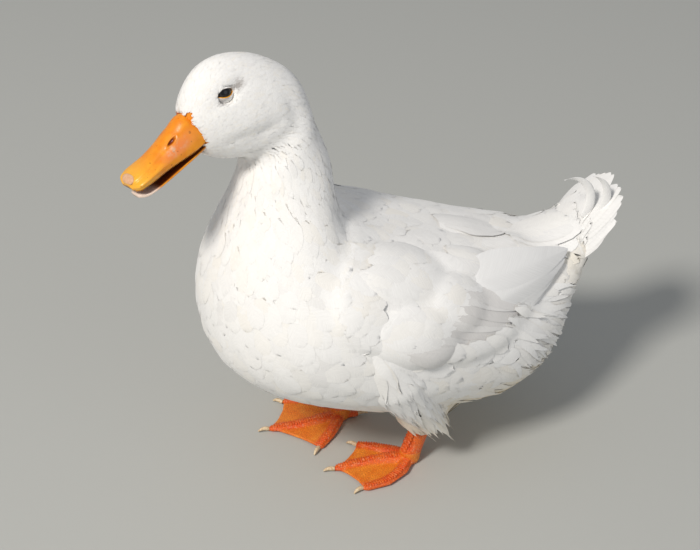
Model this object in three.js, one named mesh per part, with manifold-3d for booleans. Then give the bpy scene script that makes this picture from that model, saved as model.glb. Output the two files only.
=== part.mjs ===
// A white domestic drake of the Pekin type, standing with its head turned a little to its left.
// Millimetres. The bird faces -Y, its left side is +X, up is +Z and it stands on the floor at z = 0.
import * as THREE from "three";
import { mergeVertices } from "three/addons/utils/BufferGeometryUtils.js";
import Module from "manifold-3d";

const wasm = await Module();
wasm.setup();

// ---------------------------------------------------------------- driving dimensions

const gap = 0.3; // left between two pieces that touch
const ringPoints = 24; // points round the body
const ribSteps = 2; // rings from one rib to the next

// The body from the tail root to the neck, on the midplane: [y, z] on the back and on the belly.
const bodyRibs = [
  { top: [186, 209], low: [181, 170], half: 30 }, // tail root
  { top: [168, 203], low: [166, 132], half: 45 }, // upper tail coverts over the under tail
  { top: [146, 198], low: [156, 90], half: 60 }, // hind end of the vent fluff
  { top: [118, 200], low: [130, 60], half: 77 }, // vent
  { top: [84, 207], low: [86, 47], half: 93 },
  { top: [46, 219], low: [38, 51], half: 104 }, // over the legs
  { top: [12, 229], low: [-10, 57], half: 110, square: 2.1 },
  { top: [-18, 239], low: [-61, 71], half: 112, square: 2.05 }, // keel
  { top: [-37, 250], low: [-110, 90], half: 110, square: 2.05 },
  { top: [-45, 261], low: [-146, 115], half: 103 }, // breast
  { top: [-48, 272], low: [-165, 148], half: 90 },
  { top: [-49, 283], low: [-168, 193], half: 75 }, // front of the breast
  { top: [-50, 294], low: [-157, 233], half: 60 },
  { top: [-52, 306], low: [-144, 262], half: 48 }, // foot of the neck
];

// The neck, leaning a little to the right under the turned head: x is the shift of each point.
const neckRibs = [
  { top: [-57, 321], low: [-133, 285], x: [-3, 3], half: 39, turn: 4 },
  { top: [-64, 337], low: [-126, 300], x: [-9, 6], half: 36, turn: 11 },
];

// The head in its own frame: [forward, up] from the tip of the forehead feathers on the bill.
const headPlace = new THREE.Vector3(15, -177, 363.5);
const headYaw = 22; // degrees to the bird's left
const headPitch = 16; // bill down
const headRoll = -9.5; // crown to the bird's right
const headRibs = [
  { top: [-107, -36], low: [-33, -73], half: 34 }, // nape and throat
  { top: [-103, -19], low: [-36.5, -69.5], half: 33.5 },
  { top: [-92, -2.5], low: [-37.5, -66], half: 33, taper: 0.05 },
  { top: [-75, 13.5], low: [-35, -62], half: 31.5, taper: 0.12 }, // hind crown and cheek
  { top: [-54, 24.5], low: [-28, -57.5], half: 29.5, taper: 0.16 }, // crown and cheek
  { top: [-33, 26], low: [-19, -52], half: 26.5, taper: 0.16 }, // over the eye
  { top: [-16.5, 18.5], low: [-11, -45.5], half: 22, taper: 0.14 }, // forehead
  { top: [-5, 8], low: [-5, -39.5], half: 17, taper: 0.08 },
  { top: [-0.5, 0], low: [-2, -34.5], half: 13.6, taper: 0.05 }, // edge of the feathers at the bill
];

// The bill, in the head's frame.
const billRibs = [
  { top: [-10, -3], low: [-9, -24], half: 13.8 }, // root, under the feathers
  { top: [0, -0.4], low: [-2, -25], half: 14.7 },
  { top: [10, -4.4], low: [10, -25.4], half: 14.8 },
  { top: [21, -8.8], low: [21, -25.2], half: 14.5 },
  { top: [33, -13.2], low: [33, -25.2], half: 14.6 },
  { top: [44, -16.3], low: [44, -25.8], half: 15.4 },
  { top: [53, -18.4], low: [53, -26.6], half: 15.2 },
  { top: [59, -20], low: [58.5, -27.4], half: 12.4 },
  { top: [62.6, -23], low: [62.2, -27.6], half: 5 },
];
const lowerBillRibs = [
  { top: [-8, -25.6], low: [-8, -31], half: 11.4 },
  { top: [6, -27.2], low: [6, -32.4], half: 11.8 },
  { top: [22, -29.2], low: [22, -33.8], half: 11.4 },
  { top: [38, -31.2], low: [38, -35], half: 11.6 },
  { top: [48, -32.3], low: [48, -36], half: 11 },
  { top: [54, -33.2], low: [54, -36.4], half: 8 },
  { top: [57, -34], low: [57, -36.2], half: 4 },
];
const nail = { forward: 57.6, up: -21, long: 11, wide: 9, thick: 3.4, droop: 27 };
const nostril = { forward: 16.5, side: 8, up: -8.8, long: 9, high: 3.6, deep: 3, slope: 18 };
const eye = { forward: -36, side: 19.4, up: 0.5, radius: 7.2 };

// The folded wing: its outline from the side, [y, z], over the back of the body.
const wingOutline = [
  [-36, 254], [-62, 238], [-76, 214], [-70, 190], [-36, 170], [4, 154], [44, 145],
  [78, 150], [112, 168], [130, 186], [120, 199], [80, 211], [20, 231],
];
const wingSides = 30; // straight lengths round the outline
const wingThick = 9; // coverts and scapulars over the body's side
const wingEdge = 4; // at the wing's outline
const wingMiddle = 1.5; // half the strip along the spine between the wings
const wingReach = 200; // beyond the body's side
const wingFade = [0, 42]; // the wing thins over this distance from the spine
const wingSpine = 0.35; // share of its thickness left at the spine
const wingRim = 30; // from the outline to the full thickness

// The flight feathers of each wing, a blade from under the coverts to past the rump.
const bladeRibs = [
  { y: 30, x: 103, top: 186, low: 138, thick: 5 },
  { y: 62, x: 93, top: 190, low: 136, thick: 7 },
  { y: 92, x: 79, top: 194, low: 148, thick: 7 },
  { y: 118, x: 65, top: 197, low: 164, thick: 6 },
  { y: 140, x: 52, top: 197, low: 179, thick: 4.5 },
  { y: 156, x: 44, top: 195, low: 189, thick: 2.5 },
];
const bladePoints = 10;
const bladeLean = 0.28; // the lower edge stands this much further out for each unit of height

// The thigh under its feathers, from inside the body down to the leg, measured from the toes' joint.
const thighRibs = [
  { up: 128, out: 5, back: 6, wide: 22, long: 26 },
  { up: 100, out: 8, back: 6, wide: 27, long: 31 },
  { up: 76, out: 8.5, back: 7, wide: 25, long: 30 },
  { up: 58, out: 6, back: 8, wide: 20, long: 25 },
  { up: 46, out: 3.5, back: 10, wide: 15, long: 18 },
  { up: 38, out: 2, back: 10.6, wide: 12.2, long: 13.4 },
];
const thighPoints = 12;

// Tail: pointed feathers in a fan, and the drake's curled ones over it.
const fan = { root: [0, 150, 176], rise: 41, feathers: 14, spread: 50, long: 88, side: 59, notch: 8 };
const fanArch = 14; // how far the outer feathers hang below the middle ones
const fanThick = { root: 9, tip: 1.4 };
const fanSideRoom = 25; // half the fan's width where it leaves the rump
const curls = [
  { x: 13, y: 188, z: 227, radius: 24, start: -27, sweep: 128, wide: 9, deep: 6.5, lean: -4 },
  { x: 20, y: 200.5, z: 231, radius: 27.5, start: -14, sweep: 80, wide: 8, deep: 5.5, lean: 4 },
];

const curlSteps = 7;
const curlPoints = 6;
const curlTighten = 0.15; // share of the radius lost from root to tip
const curlTaper = 0.86; // share of the section lost from root to tip

// Legs and feet. Toes are given from the joint to the tip of the claw.
const leg = { low: 8, ankle: 4, high: 60, wide: 9.2, deep: 9.6, back: 19, out: 3 };
const toeLength = { inner: 60, middle: 78, outer: 67, hind: 25 };
const toeThick = { root: 7, tip: 4 };
const toeHigh = 8.6; // top of the toes near the joint
const ball = { wide: 9.4, long: 10, high: 9, up: 6 }; // the joint that the toes start from
const toeBow = { inner: 2.5, middle: -3, outer: 10, hind: 0 }; // how far the toes bend away from the middle one
const claw = { long: 9, wide: 2.1, high: 2.6 };
const clawShown = 0.8; // share of a claw that stands out past its toe
const web = { thick: 2, over: 1, start: 0.08, reach: 0.97, hollow: 0.05 };
const feet = [
  { name: "left", side: 1, joint: [50, 8], toes: { inner: -40, middle: -6, outer: 25, hind: 222 } },
  { name: "right", side: -1, joint: [-30, -33], toes: { inner: 50, middle: -1, outer: -38, hind: 172 } },
];

// ---------------------------------------------------------------- materials

const finish = (color, roughness) => new THREE.MeshStandardMaterial({ color, roughness, metalness: 0 });
const plumage = finish(0xf3f1ea, 0.85);
const flightFeather = finish(0xecebe6, 0.7);
const billHorn = finish(0xf5a11c, 0.45);
const nailHorn = finish(0xe9c9b4, 0.4);
const legSkin = finish(0xee6a1e, 0.55);
const clawHorn = finish(0xd8c2a4, 0.45);
const eyeball = finish(0x17181c, 0.08);

// ---------------------------------------------------------------- shaping tools

const { degToRad, clamp, lerp, smoothstep } = THREE.MathUtils;
const leftward = new THREE.Vector3(1, 0, 0);
const upward = new THREE.Vector3(0, 0, 1);

// A smooth value at t (0 to 1) through evenly counted values.
function through(values, t) {
  const last = values.length - 1;
  const i = Math.min(Math.floor(t * last), last - 1);
  const u = t * last - i;
  const at = (k) => {
    if (k < 0) return 2 * values[0] - values[1];
    return k > last ? 2 * values[last] - values[last - 1] : values[k];
  };
  const [a, b, c, d] = [at(i - 1), at(i), at(i + 1), at(i + 2)];
  return b + 0.5 * u * (c - a + u * (2 * a - 5 * b + 4 * c - d + u * (3 * (b - c) + d - a)));
}

// The signed volume of an indexed geometry, positive when its faces point out.
function volumeOf(geometry) {
  const position = geometry.getAttribute("position");
  const [a, b, c] = [new THREE.Vector3(), new THREE.Vector3(), new THREE.Vector3()];
  let volume = 0;
  for (let i = 0; i < geometry.index.count; i += 3) {
    a.fromBufferAttribute(position, geometry.index.getX(i));
    b.fromBufferAttribute(position, geometry.index.getX(i + 1));
    c.fromBufferAttribute(position, geometry.index.getX(i + 2));
    volume += a.dot(b.cross(c)) / 6;
  }
  return volume;
}

// A geometry with every triangle turned over.
function turnedOver(geometry) {
  const index = Array.from(geometry.index.array);
  for (let i = 0; i < index.length; i += 3) [index[i], index[i + 1]] = [index[i + 1], index[i]];
  return geometry.clone().setIndex(index);
}

// A closed body through rings of equally many points, closed at both ends by a fan.
function loft(rings) {
  const count = rings[0].length;
  const points = rings.flat();
  const index = [];
  for (let r = 0; r + 1 < rings.length; r++) {
    for (let i = 0; i < count; i++) {
      const j = (i + 1) % count;
      const [a, b, c, d] = [r * count + i, r * count + j, (r + 1) * count + i, (r + 1) * count + j];
      index.push(a, b, d, a, d, c);
    }
  }
  for (const end of [0, rings.length - 1]) {
    const middle = rings[end].reduce((sum, p) => sum.add(p), new THREE.Vector3()).divideScalar(count);
    points.push(middle);
    for (let i = 0; i < count; i++) {
      const pair = [end * count + i, end * count + ((i + 1) % count)];
      if (end === 0) pair.reverse();
      index.push(pair[0], pair[1], points.length - 1);
    }
  }
  const geometry = new THREE.BufferGeometry().setFromPoints(points).setIndex(index);
  return volumeOf(geometry) > 0 ? geometry : turnedOver(geometry);
}

// The ring of a rib: a rounded section between its top and low points, half wide each way.
function ringOf({ top, low, side, half, square = 2, taper = 0 }, count = ringPoints) {
  const middle = top.clone().add(low).multiplyScalar(0.5);
  const reach = top.clone().sub(middle);
  const rounded = (v) => Math.sign(v) * Math.abs(v) ** (2 / square);
  return Array.from({ length: count }, (_, i) => {
    const angle = (2 * Math.PI * i) / count;
    const along = rounded(Math.cos(angle));
    const across = rounded(Math.sin(angle)) * half * (1 - taper * along);
    return middle.clone().addScaledVector(reach, along).addScaledVector(side, across);
  });
}

// Ribs smoothly filled in between, with `steps` rings from one to the next.
function filledRibs(ribs, steps = ribSteps) {
  const total = (ribs.length - 1) * steps;
  const vector = (key, t) =>
    new THREE.Vector3(...["x", "y", "z"].map((axis) => through(ribs.map((rib) => rib[key][axis]), t)));
  return Array.from({ length: total + 1 }, (_, i) => {
    const t = i / total;
    return {
      top: vector("top", t),
      low: vector("low", t),
      side: vector("side", t).normalize(),
      half: through(ribs.map((rib) => rib.half), t),
      square: through(ribs.map((rib) => rib.square ?? 2), t),
      taper: through(ribs.map((rib) => rib.taper ?? 0), t),
    };
  });
}

// A geometry whose triangles share their corner points.
function joined(geometry) {
  const bare = geometry.clone();
  bare.deleteAttribute("normal");
  bare.deleteAttribute("uv");
  return mergeVertices(bare, 1e-4);
}

// A geometry with each point moved out along its normal by a distance that may depend on the point.
function grown(geometry, distance) {
  const bare = joined(geometry);
  bare.computeVertexNormals();
  const position = bare.getAttribute("position");
  const normal = bare.getAttribute("normal");
  const point = new THREE.Vector3();
  const outward = new THREE.Vector3();
  for (let i = 0; i < position.count; i++) {
    point.fromBufferAttribute(position, i);
    outward.fromBufferAttribute(normal, i);
    point.addScaledVector(outward, typeof distance === "function" ? distance(point) : distance);
    position.setXYZ(i, point.x, point.y, point.z);
  }
  bare.deleteAttribute("normal");
  return bare;
}

// A geometry's mirror image in the plane x = 0.
const flip = new THREE.Matrix4().makeScale(-1, 1, 1);
const mirrored = (geometry) => turnedOver(geometry.clone().applyMatrix4(flip));

// A closed geometry as a solid that can be cut and joined, and back.
function solid(geometry) {
  const merged = joined(geometry);
  const mesh = new wasm.Mesh({
    numProp: 3,
    vertProperties: new Float32Array(merged.getAttribute("position").array),
    triVerts: new Uint32Array(merged.index.array),
  });
  return new wasm.Manifold(mesh);
}
function geometryOf(body) {
  const { vertProperties, triVerts } = body.getMesh();
  const geometry = new THREE.BufferGeometry();
  geometry.setAttribute("position", new THREE.BufferAttribute(new Float32Array(vertProperties), 3));
  return geometry.setIndex(Array.from(triVerts));
}

// All the space in front of a plane, as a large block with one face on it.
function spaceBeyond(origin, normal, shift = 0) {
  const size = 900;
  const block = new THREE.BoxGeometry(size, size, size).translate(0, 0, size / 2);
  const turn = new THREE.Quaternion().setFromUnitVectors(upward, normal);
  const foot = origin.clone().addScaledVector(normal, shift);
  return solid(block.applyQuaternion(turn).translate(...foot.toArray()));
}

// An ellipsoid of the given half sizes.
const ellipsoid = (a, b, c, around, down) => new THREE.SphereGeometry(1, around, down).scale(a, b, c);

// ---------------------------------------------------------------- the whole body and its cuts

const group = new THREE.Group();
function add(name, shape, material) {
  const geometry = shape.isBufferGeometry ? shape : geometryOf(shape);
  geometry.computeVertexNormals();
  const mesh = new THREE.Mesh(geometry, material);
  mesh.name = name;
  group.add(mesh);
}

// The head's frame: x is its left, y its back and z its crown.
const headTurn = new THREE.Matrix4().makeRotationFromEuler(
  new THREE.Euler(degToRad(headPitch), degToRad(headRoll), degToRad(headYaw), "ZXY"),
);
const headFrame = headTurn.clone().setPosition(headPlace);
const headLeft = leftward.clone().transformDirection(headFrame);
const inHead = (side, forward, up) => new THREE.Vector3(side, -forward, up).applyMatrix4(headFrame);

const onBody = ({ top, low, x = [0, 0], turn = 0, ...rest }) => ({
  ...rest,
  top: new THREE.Vector3(x[0], ...top),
  low: new THREE.Vector3(x[1], ...low),
  side: leftward.clone().applyAxisAngle(upward, degToRad(turn)),
});
const onHead = ({ top, low, ...rest }) => ({
  ...rest,
  top: inHead(0, ...top),
  low: inHead(0, ...low),
  side: headLeft,
});

const ribs = [...bodyRibs.map(onBody), ...neckRibs.map(onBody), ...headRibs.map(onHead)];
const wholeGeometry = loft(filledRibs(ribs).map((rib) => ringOf(rib)));
const whole = solid(wholeGeometry);
const wholeGrown = solid(grown(wholeGeometry, gap));

// The plane of a rib, facing from the tail towards the head.
function planeOf({ top, low, side }) {
  const origin = top.clone().add(low).multiplyScalar(0.5);
  const normal = new THREE.Vector3().crossVectors(side, top.clone().sub(low)).normalize();
  return { origin, normal };
}
const neckFoot = planeOf(onBody(bodyRibs.at(-2)));
const neckTop = planeOf(onBody(neckRibs[1]));
const rumpFront = planeOf(onBody(bodyRibs[3]));
const beyond = ({ origin, normal }) => spaceBeyond(origin, normal, gap / 2);
const before = ({ origin, normal }) => spaceBeyond(origin, normal.clone().negate(), gap / 2);

// ---------------------------------------------------------------- head, eyes and bill

const headPiece = (geometry) => geometry.clone().applyMatrix4(headFrame);
const eyeGeometry = (side, extra = 0) =>
  headPiece(new THREE.SphereGeometry(eye.radius + extra, 10, 7)
    .translate(side * eye.side, -eye.forward, eye.up));

// The upper bill is an arch over a flat palate; the lower one is a shallow trough.
const inHeadFrame = ({ top, low, half }) => ({
  half,
  top: new THREE.Vector3(0, -top[0], top[1]),
  low: new THREE.Vector3(0, -low[0], low[1]),
});
const billPoints = 12; // points round the bill
const palate = 0.2; // this much of the arch's half height is cut off flat below
function archRing({ top, low, half }) {
  const height = top.z - low.z;
  return Array.from({ length: billPoints }, (_, i) => {
    const angle = (2 * Math.PI * i) / billPoints;
    const [c, s] = [Math.cos(angle), Math.sin(angle)];
    const up = Math.max(c + palate, 0) / (1 + palate);
    const wide = Math.sign(s) * Math.abs(s) ** 0.85 * half;
    const back = lerp(low.y, top.y, up);
    return new THREE.Vector3(wide, back, low.z + height * up ** 0.9);
  });
}
const troughRing = (rib) => archRing(rib).map((p) => p.setZ(rib.top.z + rib.low.z - p.z));
const billLoft = (ribs, ringFor) => headPiece(loft(ribs.map((rib) => ringFor(inHeadFrame(rib)))));
const upperBillGeometry = billLoft(billRibs, archRing);
const lowerBillGeometry = billLoft(lowerBillRibs, troughRing);
const nailGeometry = (extra = 0) =>
  headPiece(ellipsoid(nail.wide / 2 + extra, nail.long / 2 + extra, nail.thick + extra, 10, 6)
    .rotateX(degToRad(nail.droop))
    .translate(0, -nail.forward, nail.up));
const nostrilPit = (side) =>
  headPiece(ellipsoid(nostril.deep, nostril.long / 2, nostril.high / 2, 6, 5)
    .rotateX(degToRad(nostril.slope))
    .translate(side * nostril.side, -nostril.forward, nostril.up));

let head = whole.intersect(beyond(neckTop));
for (const side of [1, -1]) head = head.subtract(solid(eyeGeometry(side, gap)));
head = head.subtract(solid(grown(upperBillGeometry, gap)));
head = head.subtract(solid(grown(lowerBillGeometry, gap)));
add("head", head, plumage);
for (const side of [1, -1]) add(side > 0 ? "eye_left" : "eye_right", eyeGeometry(side), eyeball);

let upperBill = solid(upperBillGeometry).subtract(solid(nailGeometry(gap)));
for (const side of [1, -1]) upperBill = upperBill.subtract(solid(nostrilPit(side)));
add("bill_upper", upperBill, billHorn);
add("bill_nail", nailGeometry(), nailHorn);
add("bill_lower", lowerBillGeometry, billHorn);

// ---------------------------------------------------------------- neck, trunk and rump

add("neck", whole.intersect(before(neckTop)).intersect(beyond(neckFoot)), plumage);
add("trunk", whole.intersect(before(neckFoot)).intersect(beyond(rumpFront)), plumage);
const rumpBody = whole.intersect(before(rumpFront));

// ---------------------------------------------------------------- wings

const wingLoop = [...wingOutline, wingOutline[0]].map(([y, z]) => new THREE.Vector2(y, z));
const wingEdgePoints = new THREE.SplineCurve(wingLoop).getPoints(wingSides).slice(0, -1);

// How far a point of the side view lies inside the wing's outline; negative outside it.
function insideWing(y, z) {
  let nearest = Infinity;
  let inside = false;
  wingEdgePoints.forEach((a, i) => {
    const b = wingEdgePoints[(i + 1) % wingEdgePoints.length];
    const along = clamp(((y - a.x) * (b.x - a.x) + (z - a.y) * (b.y - a.y)) / a.distanceToSquared(b), 0, 1);
    nearest = Math.min(nearest, Math.hypot(y - lerp(a.x, b.x, along), z - lerp(a.y, b.y, along)));
    if (a.y > z !== b.y > z && y < a.x + ((z - a.y) / (b.y - a.y)) * (b.x - a.x)) inside = !inside;
  });
  return inside ? nearest : -nearest;
}
function wingDepth({ x, y, z }) {
  const fromEdge = lerp(wingEdge, wingThick, smoothstep(insideWing(y, z), 0, wingRim));
  return fromEdge * lerp(wingSpine, 1, smoothstep(Math.abs(x), ...wingFade));
}
const wingShell = solid(grown(wholeGeometry, wingDepth)).subtract(wholeGrown);
const wingCover = solid(grown(wholeGeometry, (point) => wingDepth(point) + gap));
const prismAxes = new THREE.Matrix4().makeBasis(
  new THREE.Vector3(0, 1, 0), new THREE.Vector3(0, 0, 1), new THREE.Vector3(1, 0, 0),
);
function wingPrism(start, end) {
  const shape = new THREE.Shape(wingEdgePoints);
  const prism = new THREE.ExtrudeGeometry(shape, { depth: end - start, bevelEnabled: false });
  return solid(prism.translate(0, 0, start).applyMatrix4(prismAxes));
}
const bladeRing = ({ y, x, top, low, thick }) =>
  Array.from({ length: bladePoints }, (_, i) => {
    const angle = (2 * Math.PI * i) / bladePoints;
    const z = (top + low) / 2 + ((top - low) / 2) * Math.cos(angle);
    const out = x + (thick / 2) * Math.sin(angle) + bladeLean * ((top + low) / 2 - z);
    return new THREE.Vector3(out, y, z);
  });
const blade = loft(bladeRibs.map(bladeRing));
for (const [name, side] of [["left", 1], ["right", -1]]) {
  const prism = side > 0 ? wingPrism(wingMiddle, wingReach) : wingPrism(-wingReach, -wingMiddle);
  add(`wing_${name}`, wingShell.intersect(prism), plumage);
  const quills = solid(side > 0 ? blade : mirrored(blade)).subtract(wholeGrown);
  add(`primaries_${name}`, quills.subtract(wingCover.intersect(prism)), flightFeather);
}

// ---------------------------------------------------------------- tail

const fanRoot = new THREE.Vector3(...fan.root);
function fanPoint(turn, reach, lift, notch) {
  const length = lerp(fan.long, fan.side, turn ** 2);
  const fromShaft = Math.abs((((turn + 1) * fan.feathers) / 2) % 1 - 0.5) * 2; // 1 between two feathers
  const far = reach * length - (reach >= 1 ? notch * fromShaft : 0);
  const angle = degToRad(fan.spread * turn);
  const rise = degToRad(fan.rise);
  const along = far * Math.cos(angle);
  const up = lift - fanArch * turn ** 2 * reach;
  return new THREE.Vector3(
    far * Math.sin(angle),
    along * Math.cos(rise) - up * Math.sin(rise),
    along * Math.sin(rise) + up * Math.cos(rise),
  ).add(fanRoot);
}

// The fan of tail feathers; with room around it, the pocket that it sits in.
function fanGeometry(room = 0) {
  const columns = fan.feathers * 2;
  const reaches = [0.3, 0.7, 1];
  const rings = Array.from({ length: columns + 1 }, (_, i) => {
    const turn = ((2 * i) / columns - 1) * (1 + room / fanSideRoom);
    const layer = (sign) => reaches.map((reach, k) => {
      const start = k === 0 ? room / fan.long : 0;
      const lift = lerp(fanThick.root, fanThick.tip, reach) / 2 + room;
      return fanPoint(turn, reach - start, sign * lift, room > 0 ? 0 : fan.notch);
    });
    return [...layer(1), ...layer(-1).reverse()];
  });
  return loft(rings);
}
const fanPocket = solid(fanGeometry(gap));
add("rump", rumpBody.subtract(fanPocket), plumage);
add("tail_fan", solid(fanGeometry()), flightFeather);

// A curled feather is a tapering horn, oval in section, bent up and forward over the tail.
function curlGeometry({ x, y, z, radius, start, sweep, wide, deep, lean }) {
  const rings = Array.from({ length: curlSteps + 1 }, (_, i) => {
    const t = i / curlSteps;
    const angle = degToRad(start + sweep * t);
    const reach = radius * (1 - curlTighten * t);
    const shrink = 1 - curlTaper * t ** 2.2;
    return Array.from({ length: curlPoints }, (_, k) => {
      const around = (2 * Math.PI * k) / curlPoints;
      const r = reach + Math.cos(around) * (deep / 2) * shrink;
      const aside = Math.sin(around) * (wide / 2) * shrink;
      return new THREE.Vector3(aside, r * Math.cos(angle), r * Math.sin(angle));
    });
  });
  return loft(rings).rotateY(degToRad(lean)).translate(x, y - radius, z);
}
curls.forEach((curl, i) => {
  const feather = solid(curlGeometry(curl)).subtract(wholeGrown).subtract(fanPocket);
  add(`tail_curl_${i + 1}`, feather, flightFeather);
});

// ---------------------------------------------------------------- legs

const floorSpace = spaceBeyond(new THREE.Vector3(0, 0, 0), upward);

// A tapering rod through path points, with an oval section and a domed end.
function rod(points, wides, highs, steps = 4, count = 6) {
  const rings = Array.from({ length: steps + 1 }, (_, i) => {
    const t = i / steps;
    const at = new THREE.Vector3(...["x", "y", "z"].map((axis) => through(points.map((p) => p[axis]), t)));
    const next = Math.min(t + 0.01, 1);
    const last = next - 0.01;
    const ahead = new THREE.Vector3(...["x", "y", "z"].map((axis) =>
      through(points.map((p) => p[axis]), next) - through(points.map((p) => p[axis]), last))).normalize();
    const across = new THREE.Vector3().crossVectors(ahead, upward);
    if (across.lengthSq() < 0.05) across.copy(leftward);
    across.normalize();
    const over = new THREE.Vector3().crossVectors(across, ahead);
    const [wide, high] = [through(wides, t), through(highs, t)];
    return Array.from({ length: count }, (_, k) => {
      const angle = (2 * Math.PI * k) / count;
      const outer = across.clone().multiplyScalar(Math.cos(angle) * wide);
      return outer.addScaledVector(over, Math.sin(angle) * high).add(at);
    });
  });
  return loft(rings);
}

const heading = (degrees) => new THREE.Vector3(Math.sin(degToRad(degrees)), -Math.cos(degToRad(degrees)), 0);

function toeOf(joint, degrees, length, bow) {
  const ahead = heading(degrees);
  const aside = heading(degrees + 90);
  const bony = length - claw.long * clawShown;
  const place = (t, z) =>
    joint.clone().addScaledVector(ahead, t * bony).addScaledVector(aside, bow * 4 * t * (1 - t)).setZ(z);
  return {
    ahead,
    bony,
    at: (t) => place(t, lerp(toeHigh * 0.5, toeThick.tip * 0.75, t)),
    rod: rod(
      [place(-0.06, 4.6), place(0.3, 4.3), place(0.62, 3.4), place(0.93, 2.7), place(1, 2.4)],
      [toeThick.root, toeThick.root * 0.9, toeThick.root * 0.78, toeThick.tip, toeThick.tip * 0.4],
      [toeHigh * 0.52, toeHigh * 0.5, toeHigh * 0.4, toeThick.tip * 0.8, toeThick.tip * 0.35],
    ),
    claw: rod(
      [place(1, 2.6).addScaledVector(ahead, gap), place(1, 3.4).addScaledVector(ahead, claw.long * 0.45),
        place(1, 1.4).addScaledVector(ahead, claw.long)],
      [claw.wide, claw.wide * 0.75, 0.5],
      [claw.high, claw.high * 0.7, 0.5],
      2,
    ),
  };
}

// The web between two toes, a thin sheet with a hollow front edge.
function webBetween(a, b) {
  const [along, across] = [3, 3];
  const rings = [];
  for (let j = 0; j <= across; j++) {
    const w = j / across;
    const reach = web.reach - web.hollow * 4 * w * (1 - w);
    const row = (lift) => Array.from({ length: along + 1 }, (_, i) => {
      const t = lerp(web.start, reach, i / along);
      const sag = 4 * w * (1 - w);
      const p = a.at(t).lerp(b.at(t), w);
      return p.setZ(lerp(p.z, web.over + web.thick / 2, 0.7 * sag) + lift);
    });
    rings.push([...row(web.thick / 2), ...row(-web.thick / 2).reverse()]);
  }
  return solid(loft(rings));
}

for (const { name, side, joint, toes } of feet) {
  const centre = new THREE.Vector3(joint[0], joint[1], 0);
  const bend = (key) => toeBow[key] * side * (key === "inner" ? -1 : 1);
  const toe = Object.fromEntries(Object.entries(toes).map(([key, degrees]) =>
    [key, toeOf(centre, degrees, toeLength[key], bend(key))]));
  let foot = solid(ellipsoid(ball.wide, ball.long, ball.high, 10, 6).translate(centre.x, centre.y, ball.up));
  for (const part of Object.values(toe)) foot = foot.add(solid(part.rod));
  foot = foot.add(webBetween(toe.inner, toe.middle)).add(webBetween(toe.middle, toe.outer));
  const ankle = centre.clone().setZ(leg.low + leg.ankle - 1);
  const knee = centre.clone().add(new THREE.Vector3(side * leg.out, leg.back, leg.high));
  const shankRod = rod(
    [ankle, ankle.clone().lerp(knee, 0.35), ankle.clone().lerp(knee, 0.7), knee],
    [leg.wide, leg.wide * 0.88, leg.wide * 0.9, leg.wide * 1.05],
    [leg.deep, leg.deep * 0.9, leg.deep * 0.92, leg.deep * 1.05],
    4, 10,
  );
  foot = foot.intersect(floorSpace);
  const footSplit = leg.low + leg.ankle;
  const aboveSplit = (shift) => spaceBeyond(centre.clone().setZ(footSplit + shift), upward);
  foot = foot.add(solid(shankRod).subtract(aboveSplit(0))).subtract(aboveSplit(0));
  const clawSpace = Object.values(toe).map((part) => solid(grown(part.claw, gap)));
  for (const space of clawSpace) foot = foot.subtract(space);
  add(`foot_${name}`, foot, legSkin);
  for (const [key, part] of Object.entries(toe)) {
    add(`claw_${key}_${name}`, solid(part.claw).intersect(floorSpace), clawHorn);
  }

  // The feathered thigh hangs from the flank over the top of the shank.
  const thighGeometry = loft(thighRibs.map(({ up, out, back, wide, long }) => {
    const middle = centre.clone().add(new THREE.Vector3(side * out, back, up));
    return Array.from({ length: thighPoints }, (_, i) => {
      const angle = (2 * Math.PI * i) / thighPoints;
      return middle.clone().add(new THREE.Vector3(wide * Math.sin(angle), long * Math.cos(angle), 0));
    });
  }));
  add(`thigh_${name}`, solid(thighGeometry).subtract(wholeGrown).subtract(wingCover), plumage);
  const shank = solid(shankRod).intersect(aboveSplit(gap)).subtract(solid(grown(thighGeometry, gap)));
  add(`shank_${name}`, shank.subtract(wholeGrown), legSkin);
}

// The origin lies on the floor under the middle of the finished bird.
const middle = new THREE.Box3().setFromObject(group, true).getCenter(new THREE.Vector3());
for (const mesh of group.children) mesh.geometry.translate(-middle.x, -middle.y, 0);

export default group;
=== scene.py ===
import math
import bpy
import bmesh
import numpy as np
from mathutils import Matrix, Vector
from mathutils.bvhtree import BVHTree


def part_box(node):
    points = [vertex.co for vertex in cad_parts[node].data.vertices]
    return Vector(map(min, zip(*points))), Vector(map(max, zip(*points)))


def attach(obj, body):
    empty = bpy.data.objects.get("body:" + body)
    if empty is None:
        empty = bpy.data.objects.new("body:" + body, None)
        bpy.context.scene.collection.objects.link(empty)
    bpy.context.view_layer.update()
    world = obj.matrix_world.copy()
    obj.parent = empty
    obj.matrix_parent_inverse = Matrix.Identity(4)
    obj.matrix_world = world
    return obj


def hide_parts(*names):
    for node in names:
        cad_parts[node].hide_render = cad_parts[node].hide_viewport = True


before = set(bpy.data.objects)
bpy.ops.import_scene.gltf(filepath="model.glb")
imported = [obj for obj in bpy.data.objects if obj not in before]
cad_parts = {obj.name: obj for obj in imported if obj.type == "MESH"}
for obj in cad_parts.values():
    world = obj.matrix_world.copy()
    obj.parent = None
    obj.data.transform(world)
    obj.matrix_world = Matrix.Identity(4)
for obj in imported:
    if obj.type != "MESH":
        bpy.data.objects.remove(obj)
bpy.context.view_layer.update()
mm = 0.001  # shapes are in millimetres: the bird faces -y, its left is +x, the floor is z = 0
dice = np.random.default_rng(20)

headPose = {"tip": (15, -177, 363.5), "yaw": 22, "pitch": 16, "roll": -9.5}  # tip of the forehead's feathers
eyeball = {"forward": -36, "side": 19.4, "up": 0.5, "radius": 7.2}


def turned(yaw, pitch, roll):
    angles = [math.radians(a) for a in (yaw, pitch, roll)]
    parts = [Matrix.Rotation(a, 3, axis) for a, axis in zip(angles, "ZXY")]
    return np.array(parts[0] @ parts[1] @ parts[2])


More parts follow.
